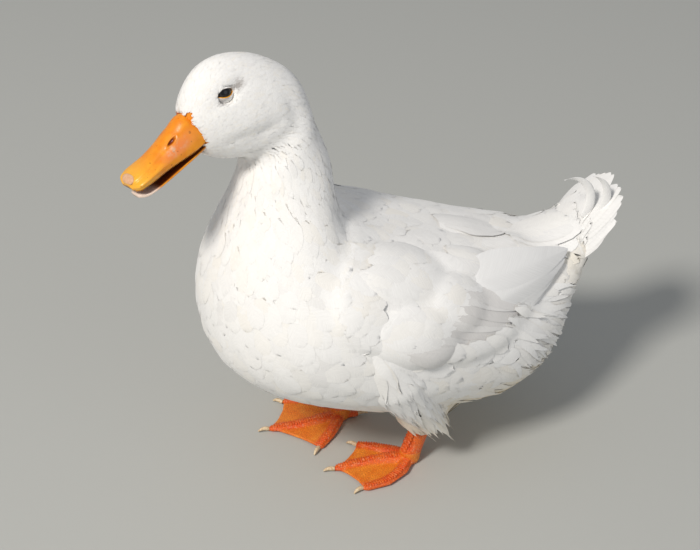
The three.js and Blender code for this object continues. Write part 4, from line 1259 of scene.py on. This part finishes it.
forward = rings[..., 1]
rolled = 0.5 * np.exp(-((side - 68) / 10) ** 2) * smoothstep(forward, 15, 45)
markHorn(billMesh, {
    "yellow": np.maximum(smoothstep(forward, 30, 56) * 0.75, rolled),
    "salmon": np.exp(-((forward - 17) / 14) ** 4 - ((side - 60) / 14) ** 4),
    # painted shade: the nostril's opening and the palate inside the mouth are painted dark
    "dark": np.clip(openedHole * 1.2, 0, 1) + (side > 100) * 0.9,
    "worn": np.exp(-((forward - 17) / 9) ** 2 - ((side - 55) / 14) ** 2),
})


def mottled(name, size, reach, low, high, rough):  # two colours in soft patches
    material, tree, shader = newMaterial(name, {"Roughness": rough})
    place3 = addNode(tree, "ShaderNodeTexCoord").outputs["Object"]
    colour = layered(tree, linear(low), [(spotted(tree, place3, size, *reach), high)])
    tree.links.new(colour, shader.inputs["Base Color"])
    return material


hornPaint, tree, shader = newMaterial("waxy_bill_horn", {  # keratin: half matt, glowing orange from within
    "Roughness": 0.34, "Coat Weight": 0.25, "Coat Roughness": 0.25, "Subsurface Weight": 0.12,
    "Subsurface Radius": (1.0, 0.45, 0.15), "Subsurface Scale": 2 * mm})
place3 = addNode(tree, "ShaderNodeTexCoord").outputs["Object"]
yellow, salmon, worn, dark = (addNode(tree, "ShaderNodeAttribute", attribute_name=name).outputs["Fac"]
                              for name in ("yellow", "salmon", "worn", "dark"))
rosy = addNode(tree, "ShaderNodeMath", {0: salmon, 1: 0.85}, operation="MULTIPLY").outputs[0]
scuffs = addNode(tree, "ShaderNodeMath", {0: worn, 1: spotted(tree, place3, 4.2, 0.52, 0.7)},
                 operation="MULTIPLY").outputs[0]
freckles = addNode(tree, "ShaderNodeMath", {0: spotted(tree, place3, 3.1, 0.76, 0.8, 0.0), 1: 0.45},
                   operation="MULTIPLY").outputs[0]
colour = layered(tree, linear("#ee8a0c"), [
    (spotted(tree, place3, 9, 0.35, 0.65), "#f79d17"),
    (yellow, "#ffbe3a"),
    (rosy, "#e98546"),
    (scuffs, "#dfb08a"),
    (freckles, "#7c3206"),
    # painted shade, in the nostrils and inside the mouth
    (dark, "#7a2407"),
])
tree.links.new(colour, shader.inputs["Base Color"])
# the horn's grain is far finer, drawn at 1.1 mm so that it shows
grain = addNode(tree, "ShaderNodeTexNoise", {"Vector": place3, "Scale": 1000 / 1.1, "Detail": 3.0})
relief = {"Strength": 0.18, "Distance": 0.4 * mm, "Height": grain.outputs["Fac"]}
bump = addNode(tree, "ShaderNodeBump", relief)
tree.links.new(bump.outputs["Normal"], shader.inputs["Normal"])
billPiece = newPiece("upper_bill", billMesh, hornPaint)
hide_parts("bill_upper")

lower = through(lowerBillRibs, np.linspace(0, 1, 70))
around = np.linspace(0, 2 * np.pi, 56, endpoint=False)[None]
across = np.sign(np.sin(around)) * np.abs(np.sin(around)) ** 0.7 * lower[:, 3:4]
level = (lower[:, 1:2] + lower[:, 2:3]) / 2
height = np.sign(np.cos(around)) * np.abs(np.cos(around)) ** 0.7 * (lower[:, 1:2] - lower[:, 2:3]) / 2
trough = 1.8 * np.maximum(np.cos(around), 0) ** 0.6 * smoothstep(lower[:, :1], 57, 50)
lowerRings = np.stack([across, lower[:, :1] + 0 * around, level + height - trough], -1)
lowerMesh = closedMesh("lower_bill", inHead(lowerRings))
inside = smoothstep(np.cos(around), 0.3, 0.55) + 0 * level
pale = smoothstep(lowerRings[..., 1], 40, 48)
# painted shade: the lower half's inner side within the open mouth is painted dark
markHorn(lowerMesh, {"salmon": 0.4, "dark": inside * (1 - pale) * 0.95, "pale": pale})
lowerHorn, tree, shader = newMaterial("pale_tipped_bill_horn", {  # the same keratin, bleached towards the tip, painted dark as shade inside the mouth
    "Roughness": 0.36, "Coat Weight": 0.2, "Coat Roughness": 0.25})
place3 = addNode(tree, "ShaderNodeTexCoord").outputs["Object"]
pale, dark = (addNode(tree, "ShaderNodeAttribute", attribute_name=name).outputs["Fac"]
              for name in ("pale", "dark"))
colour = layered(tree, linear("#e58a1c"), [
    (spotted(tree, place3, 6, 0.35, 0.65), "#f4a02c"), (pale, "#f4dccb"), (dark, "#7a3214")])
tree.links.new(colour, shader.inputs["Base Color"])
lowerPiece = newPiece("lower_bill", lowerMesh, lowerHorn)
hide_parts("bill_lower")

mouthRibs = [(-10, -23.5, -30.5, 10.5), (10, -23.5, -30.5, 11.0), (30, -23.6, -32, 10.6),
             (46, -24, -32.6, 10), (53, -25, -33, 6.5)]  # forward, top, low, half width
mouth = through(mouthRibs, np.linspace(0, 1, 40))
around = np.linspace(0, 2 * np.pi, 28, endpoint=False)[None]
mouthMiddle, mouthHalf = (mouth[:, 1:2] + mouth[:, 2:3]) / 2, (mouth[:, 1:2] - mouth[:, 2:3]) / 2
mouthRings = np.stack([np.sin(around) * mouth[:, 3:4], mouth[:, :1] + 0 * around,
                       mouthMiddle + np.cos(around) * mouthHalf], -1)
# painted shade: the lining is dark brown as the open mouth's shade, with a wet gleam
mouthShadePaint = mottled("mouth_lining_painted_shade", 3, (0.4, 0.6), "#5a2412", "#7c3a20", 0.35)
newPiece("mouth_lining", closedMesh("mouth", inHead(mouthRings)), mouthShadePaint)

plan = bill["nail"]
_, across, quads = lensGrid(24, 20, 1)
s, c = np.linspace(0, 1, 25)[:, None], across[None]
width = np.sqrt(np.maximum(1 - (2 * s - 1) ** 2, 0)) ** 0.9 + 1e-3
t = plan["start"] + (1.0 - plan["start"]) * s + 0 * c
flat = billTop(c * plan["wide"] * width * (1 + 1.1 * s), t)
over = unit(np.stack([c * 0.25 * width, 0.35 + 0.6 * s ** 2 + 0 * c, 1 - 0.3 * s + 0 * c], -1))
rise = plan["thick"] * (1 - c ** 2) ** 0.5 * np.sqrt(np.maximum(1 - (2 * s - 1) ** 4, 0))
top, under = flat + over * (rise[..., None] + 0.05), flat - over * 0.5
nailMesh = newMesh("nail", inHead(bothFaces(top[None], under[None])[0]), quads)
nailPaint = mottled("bill_nail_horn", 2.5, (0.35, 0.65), "#dba57c", "#e6b993", 0.38)  # pale, a dull polish
nailPiece = newPiece("bill_nail_tip", nailMesh, nailPaint)
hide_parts("bill_nail")
print("bill is made")


def plateTree(name):  # small plates along a path, for toes, shanks and the comb of the bill
    tree = bpy.data.node_groups.new(name, "GeometryNodeTree")
    face = tree.interface
    face.new_socket("Geometry", in_out="OUTPUT", socket_type="NodeSocketGeometry")
    face.new_socket("Geometry", in_out="INPUT", socket_type="NodeSocketGeometry")
    kinds = {"Apart": "Float", "Size": "Vector", "Face": "Vector", "Tilt": "Float", "Material": "Material"}
    for title, kind in kinds.items():
        face.new_socket(title, in_out="INPUT", socket_type="NodeSocket" + kind)
    given = addNode(tree, "NodeGroupInput").outputs
    line = {"Curve": given["Geometry"], "Length": given["Apart"]}
    dots = addNode(tree, "GeometryNodeCurveToPoints", line, mode="LENGTH")
    lie = addNode(tree, "FunctionNodeAlignRotationToVector", {"Vector": dots.outputs["Tangent"]}, axis="Y")
    upright = {"Rotation": lie.outputs[0], "Vector": given["Face"]}
    stand = addNode(tree, "FunctionNodeAlignRotationToVector", upright, axis="Z", pivot_axis="Y")
    lean = addNode(tree, "ShaderNodeCombineXYZ", {"X": given["Tilt"]})
    leaning = {"Rotation": stand.outputs[0], "Rotate By": lean.outputs[0]}
    leaned = addNode(tree, "FunctionNodeRotateRotation", leaning, rotation_space="LOCAL")
    plate = addNode(tree, "GeometryNodeMeshUVSphere", {"Segments": 8, "Rings": 5, "Radius": 0.5})
    radius = addNode(tree, "GeometryNodeInputRadius")
    one = addNode(tree, "FunctionNodeRandomValue", {"Seed": 7}, data_type="FLOAT_VECTOR")
    one.inputs[0].default_value = (0.85, 0.8, 0.8)
    one.inputs[1].default_value = (1.15, 1.2, 1.2)
    grown = addNode(tree, "ShaderNodeVectorMath", {0: given["Size"], 1: one.outputs[0]}, operation="MULTIPLY")
    sized = addNode(tree, "ShaderNodeVectorMath", {0: grown.outputs[0], "Scale": radius.outputs[0]},
                    operation="SCALE")
    placed = addNode(tree, "GeometryNodeInstanceOnPoints", {
        "Points": dots.outputs["Points"], "Instance": plate.outputs["Mesh"],
        "Rotation": leaned.outputs[0], "Scale": sized.outputs[0]})
    real = addNode(tree, "GeometryNodeRealizeInstances", {"Geometry": placed.outputs[0]})
    smooth = addNode(tree, "GeometryNodeSetShadeSmooth", {"Geometry": real.outputs[0]})
    paint = {"Geometry": smooth.outputs[0], "Material": given["Material"]}
    painted = addNode(tree, "GeometryNodeSetMaterial", paint)
    addNode(tree, "NodeGroupOutput", {"Geometry": painted.outputs[0]})
    return tree


plates = plateTree("plates_along_a_path")


def plateMesh(paths, radii, apart, size, face, tilt, material):  # paths in the frame's metres
    data = bpy.data.curves.new("paths", "CURVE")
    data.dimensions = "3D"
    for path, radius in zip(paths, radii):
        line = data.splines.new("POLY")
        line.points.add(len(path) - 1)
        for point, place, r in zip(line.points, path, radius):
            point.co = (*place, 1)
            point.radius = r
    carrier = linked("paths", data)
    modifier = carrier.modifiers.new("plates", "NODES")
    modifier.node_group = plates
    names = {item.name: item.identifier for item in plates.interface.items_tree if item.in_out == "INPUT"}
    values = {"Apart": apart * mm, "Size": [v * mm for v in size], "Face": face, "Tilt": tilt,
              "Material": material}
    for title, value in values.items():
        modifier[names[title]] = value
    return applied(carrier)


def combPath(angle):  # just inside the bill's edge
    edge = billTop(np.full(90, angle), np.linspace(0.16, 0.93, 90))
    return inHead(edge + [-0.7 * np.sign(angle), 0, -0.35])


comb = plateMesh([combPath(-90.0), combPath(90.0)], [np.ones(90)] * 2, 1.25, (1.5, 0.75, 1.6),
                 tuple(headTurn @ [0, 0, 1]), 0.0, hornPaint)
markHorn(comb, {"yellow": 0.3, "dark": 0.35})
newPiece("bill_comb", comb, hornPaint)

eyePlan = {  # a dark ball in almond lids with a thin orange edge
    "out": (1, 0.05, 0.22), "shift": (-5.7, -0.6, 1.8), "radius": 7.6, "long": 6.5, "up": 3.1, "down": 3.2,
    "ring": 9.8, "raised": 0.25, "corner": 0.9, "turn": -15,
    "tufts": ((5, 0), (7, 1), (9, 0), (11, 1), (13, 0), (14, 1), (16, 0)),  # row, half a step aside
}


def eyeAxes(side):
    out = unit(np.array(eyePlan["out"]) * [side, 1, 1])
    ahead = unit(np.array([0, 1, 0]) - out * out[1])
    over = np.cross(ahead, out) * side * -1
    turn = math.radians(eyePlan["turn"])
    return out, ahead * math.cos(turn) - over * math.sin(turn), over * math.cos(turn) + ahead * math.sin(turn)


ballPaint, tree, shader = newMaterial("wet_dark_eye", {  # dark iris, black pupil, a clear wet coat
    "Roughness": 0.12, "Coat Weight": 0.3, "Coat Roughness": 0.02})
iris = addNode(tree, "ShaderNodeAttribute", attribute_name="iris").outputs["Fac"]
colour = layered(tree, linear("#020203"), [(iris, "#1c1a1a")])
tree.links.new(colour, shader.inputs["Base Color"])
lidPaint, tree, shader = newMaterial("eyelid_skin", {"Roughness": 0.45})  # bare white, orange at the wet edge, dark brown along the upper inner rim
edge, upperRimDark = (addNode(tree, "ShaderNodeAttribute", attribute_name=name).outputs["Fac"]
              for name in ("edge", "upperRimDark"))
colour = layered(tree, linear("#f0ece8"), [(edge, "#f2a51e"), (upperRimDark, "#2a1a12")])
tree.links.new(colour, shader.inputs["Base Color"])

lidBatches = []
for side, title in ((1, "left"), (-1, "right")):
    centre = np.array([eyeball["side"], eyeball["forward"], eyeball["up"]]) + eyePlan["shift"]
    centre = centre * [side, 1, 1]
    out, ahead, over = eyeAxes(side)
    work = bmesh.new()
    bmesh.ops.create_uvsphere(work, u_segments=48, v_segments=32, radius=eyePlan["radius"] - 0.2)
    mesh = bpy.data.meshes.new("eyeball")
    work.to_mesh(mesh)
    work.free()
    ball = pointsOf(mesh)
    iris = smoothstep(np.degrees(np.arccos(np.clip(ball @ out / (eyePlan["radius"] - 0.2), -1, 1))), 26, 34)
    movePoints(mesh, inHead(ball + centre))
    setValues(mesh, "iris", iris)
    facedOut(mesh).shade_smooth()
    piece = newPiece("eyeball_" + title, mesh, ballPaint)
    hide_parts("eye_" + title)

    n, rings = 64, 16
    turn = np.linspace(0, 2 * np.pi, n, endpoint=False)
    x = np.cos(turn)
    y = np.sin(turn)
    front = np.clip(x, 0, 1)
    innerX = eyePlan["long"] * x * (1 + 0.14 * front ** 8)
    innerY = np.where(y > 0, eyePlan["up"], eyePlan["down"]) * np.sign(y) * np.abs(y) ** (1 + 0.5 * front)
    innerY = innerY - eyePlan["corner"] * front ** 3
    reach = np.hypot(innerX, innerY)
    radius = eyePlan["radius"]
    rise = np.sqrt(np.maximum(radius ** 2 - reach ** 2, 0))
    start = centre + innerX[:, None] * ahead + innerY[:, None] * over + rise[:, None] * out
    rim = unit(start - centre)
    spread = unit(innerX[:, None] * ahead + innerY[:, None] * over)
    far = x[:, None] * ahead * eyePlan["ring"] + y[:, None] * over * (eyePlan["ring"] - 1.8)
    far = centre + far + out * 2
    spots, normals = nearestOnCoat(inHead(far))
    outer = toHead(spots + normals * 0.55 * mm)
    k = np.linspace(0, 1, rings)[:, None, None]
    p0, p1 = start + rim * 0.25, start + rim * (eyePlan["raised"] + 0.35) + spread * 0.5
    p2, p3 = outer * 0.45 + start * 0.55 + rim * 0.5, outer
    skinLine = (1 - k) ** 3 * p0 + 3 * k * (1 - k) ** 2 * p1 + 3 * k ** 2 * (1 - k) * p2 + k ** 3 * p3
    back = start - rim * 0.9 + spread * 0.3
    rows = np.concatenate([back[None], skinLine, (outer - rim * 3.0)[None]])
    total = len(rows)
    i = np.arange(n)
    j = (i + 1) % n
    r = np.arange(total)[:, None] * n
    nextRow = (np.arange(total)[:, None] + 1) % total * n
    quads = np.stack([r + i, r + j, nextRow + j, nextRow + i], -1).reshape(-1, 4)
    mesh = facedOut(newMesh("lids", inHead(rows.reshape(-1, 3)), quads))
    level = np.arange(total)[:, None] / (total - 1) + 0 * turn[None]
    lower = smoothstep(-y, -0.75, -0.2)[None] * 0.75 + 0.25
    edge = smoothstep(level, 0.34 * lower, 0.2 * lower) * (0.7 + 0.3 * smoothstep(-y, -0.5, 0.1))[None]
    # dark brown along the upper and rear inner rim
    upperRimDark = smoothstep(level, 0.12, 0.06) * smoothstep(y - x * 0.6, 0.4, 0.8)[None] * 0.7
    setValues(mesh, "edge", edge)
    setValues(mesh, "upperRimDark", upperRimDark)
    newPiece("eyelids_" + title, mesh, lidPaint)
    lidPoints, lidNormals = pointsOf(mesh), normalsOf(mesh)
    lidTree = BVHTree.FromPolygons(lidPoints.tolist(), quads.tolist())
    grid = np.concatenate([np.column_stack([turn[shift::2], np.full(n // 2, row)])
                           for row, shift in eyePlan["tufts"]])
    roots = inHead(rows[grid[:, 1].astype(int), np.rint(grid[:, 0] / (2 * np.pi) * n).astype(int) % n])
    back = np.tile(headTurn @ [0, 1, 0.05], (len(roots), 1))
    sizes = np.tile([2.6, 1.5, 0.1, 0.5, 0.1], (len(roots), 1)) * dice.normal(1, 0.12, (len(roots), 5))
    clear = clearOfEyes(roots + back * 0.0026, back, np.zeros(len(roots)), 0.86)
    lidBatches.append(layFeathers(roots[clear], back[clear], sizes[clear], coatLooks["head"],
                                  lambda spots: nearestOn(lidTree, lidPoints, lidNormals, spots, quads)))
featherPiece("eyelid_feathers", lidBatches, "plumage", contourWhite)
print("eyes are set")

toeLength = {"inner": 60, "middle": 78, "outer": 67, "hind": 25}
toeBow = {"inner": 2.5, "middle": -3, "outer": 10, "hind": 0}
clawPlan = {"long": 9.5, "shown": 7.2, "wide": 2.0, "high": 2.7}


def toePoint(leg, key, t, z):
    degrees = leg["toes"][key]
    bow = toeBow[key] * leg["side"] * (-1 if key == "inner" else 1)
    a, b = math.radians(degrees), math.radians(degrees + 90)
    ahead, aside = np.array([math.sin(a), -math.cos(a), 0]), np.array([math.sin(b), -math.cos(b), 0])
    t = np.asarray(t, float)[:, None]
    long = toeLength[key] - clawPlan["shown"]
    spot = np.array([*leg["joint"], 0]) + ahead * t * long + aside * bow * 4 * t * (1 - t)
    spot[:, 2] = z
    return spot


legPaint, tree, shader = newMaterial("scaly_leg_skin", {  # tough pebbled skin, yellower on the webs, with small pale spots as painted highlights
    "Roughness": 0.42, "Subsurface Weight": 0.1, "Subsurface Radius": (1.0, 0.35, 0.12),
    "Subsurface Scale": 2 * mm})
place3 = addNode(tree, "ShaderNodeTexCoord").outputs["Object"]
# the pebbles are finer, drawn 1.7 mm apart so that they show
pebbles = addNode(tree, "ShaderNodeTexVoronoi", {"Vector": place3, "Scale": 1000 / 1.7},
                  feature="DISTANCE_TO_EDGE")
reach = {"Value": pebbles.outputs["Distance"], "From Min": 0.02, "From Max": 0.22}
groove = addNode(tree, "ShaderNodeMapRange", reach).outputs[0]
# the small pale pink spots are painted highlights
toeColour = layered(tree, linear("#ee5c16"), [
    (spotted(tree, place3, 7, 0.35, 0.65), "#f87a26"), (spotted(tree, place3, 2.2, 0.56, 0.7), "#f4a070")])
webColour = layered(tree, linear("#f48422"), [(spotted(tree, place3, 9, 0.35, 0.65), "#fb9c32")])
web = addNode(tree, "ShaderNodeAttribute", attribute_name="web").outputs["Fac"]
colour = layered(tree, toeColour, [(web, webColour)])
colour = layered(tree, layered(tree, colour, [(0.45, "#b03208")]), [(groove, colour)])
tree.links.new(colour, shader.inputs["Base Color"])
bump = addNode(tree, "ShaderNodeBump", {"Strength": 0.5, "Distance": 0.5 * mm, "Height": groove})
tree.links.new(bump.outputs["Normal"], shader.inputs["Normal"])

skinWhite, tree, shader = newMaterial("downy_skin", {"Roughness": 0.85})  # down, toned as the feathers are
tree.links.new(toneRamp(tree, plumage), shader.inputs["Base Color"])

skinPoints = pointsOf(skin)
bird = toBird(skinPoints)
toLine = np.full(len(bird), 1e3)
for leg in legPlan:
    for key in leg["toes"]:
        line = toePoint(leg, key, np.linspace(0, 1, 30), 4)
        near = bird[:, 2] < 20
        distance = np.linalg.norm(bird[near, None] - line[None], axis=2).min(axis=1)
        toLine[near] = np.minimum(toLine[near], distance)
setValues(skin, "web", smoothstep(toLine, 4.5, 8) * (bird[:, 2] < 14))
setValues(skin, "tone", toneAt(skinPoints))
skin.materials.clear()
skinPiece = newPiece("skin", skin)
for material in (skinWhite, legPaint, hornPaint):
    skin.materials.append(material)
legFaces[billSide(toHead(centres.astype(float))) > 0] = 2
skin.polygons.foreach_set("material_index", legFaces)
markHorn(skin, {})
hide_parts(*plumageNodes, "shank_left", "shank_right", "foot_left", "foot_right")
clawPaint = mottled("claw_horn", 2, (0.4, 0.6), "#cdb08a", "#e6d2b0", 0.4)  # ivory horn with a dull gleam

for leg in legPlan:
    toePaths, toeRadii = [], []
    for key in ("inner", "middle", "outer"):
        t = np.linspace(0.1, 0.95, 40)
        heights = np.interp(t, [0, 0.3, 0.62, 0.93, 1], [8.6, 8.2, 6.6, 5.4, 4.0])
        toePaths.append(place(toePoint(leg, key, t, heights)))
        toeRadii.append(np.interp(t, [0, 0.6, 1], [1.15, 1.0, 0.7]))
    mesh = plateMesh(toePaths, toeRadii, 2.3, (7.6, 3.0, 1.5), (0, 0, 1), 0.14, legPaint)
    setValues(mesh, "web", np.zeros(len(mesh.vertices)))
    newPiece("toe_scutes_" + leg["name"], mesh, legPaint)
    front = shankPath(leg)
    ahead = np.array([leg["side"] * 0.25, -1, 0.3])
    steps = np.linspace(0, 1, 30)
    path = np.column_stack([np.interp(steps, np.linspace(0, 1, len(front)), front[:, k]) for k in range(3)])
    path = path + unit(ahead) * 8.6 + [0, 0, 1.5]
    mesh = plateMesh([place(path[2:])], [np.interp(steps[2:], [0, 1], [1.1, 1.0])], 3.4, (8.8, 4.4, 2.0),
                     tuple(unit(ahead)), 0.1, legPaint)
    setValues(mesh, "web", np.zeros(len(mesh.vertices)))
    newPiece("shank_scutes_" + leg["name"], mesh, legPaint)
    for key in leg["toes"]:
        root = toePoint(leg, key, [1.0], 2.6)[0]
        a = math.radians(leg["toes"][key])
        ahead = np.array([math.sin(a), -math.cos(a), 0])
        t = np.linspace(-0.12, 1, 16)
        path = root + np.outer(t * clawPlan["long"], ahead)
        path[:, 2] = 2.9 + 1.5 * np.sin(np.clip(t, 0, 1) * np.pi * 0.8) - 2.3 * np.clip(t, 0, 1) ** 2
        size = np.sqrt(np.clip(1 - np.clip(t, 0, 1) ** 1.6, 0.004, 1))
        path[:, 2] = np.maximum(path[:, 2], clawPlan["high"] * size * 0.8 + 0.1)
        rings = tube(place(path), clawPlan["wide"] * size * mm, clawPlan["high"] * size * 0.75 * mm, 14)
        name = "claw_%s_of_%s" % (key, leg["name"])
        piece = newPiece(name, closedMesh("claw", rings), clawPaint)
        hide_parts("claw_%s_%s" % (key, leg["name"]))
print("legs are dressed")
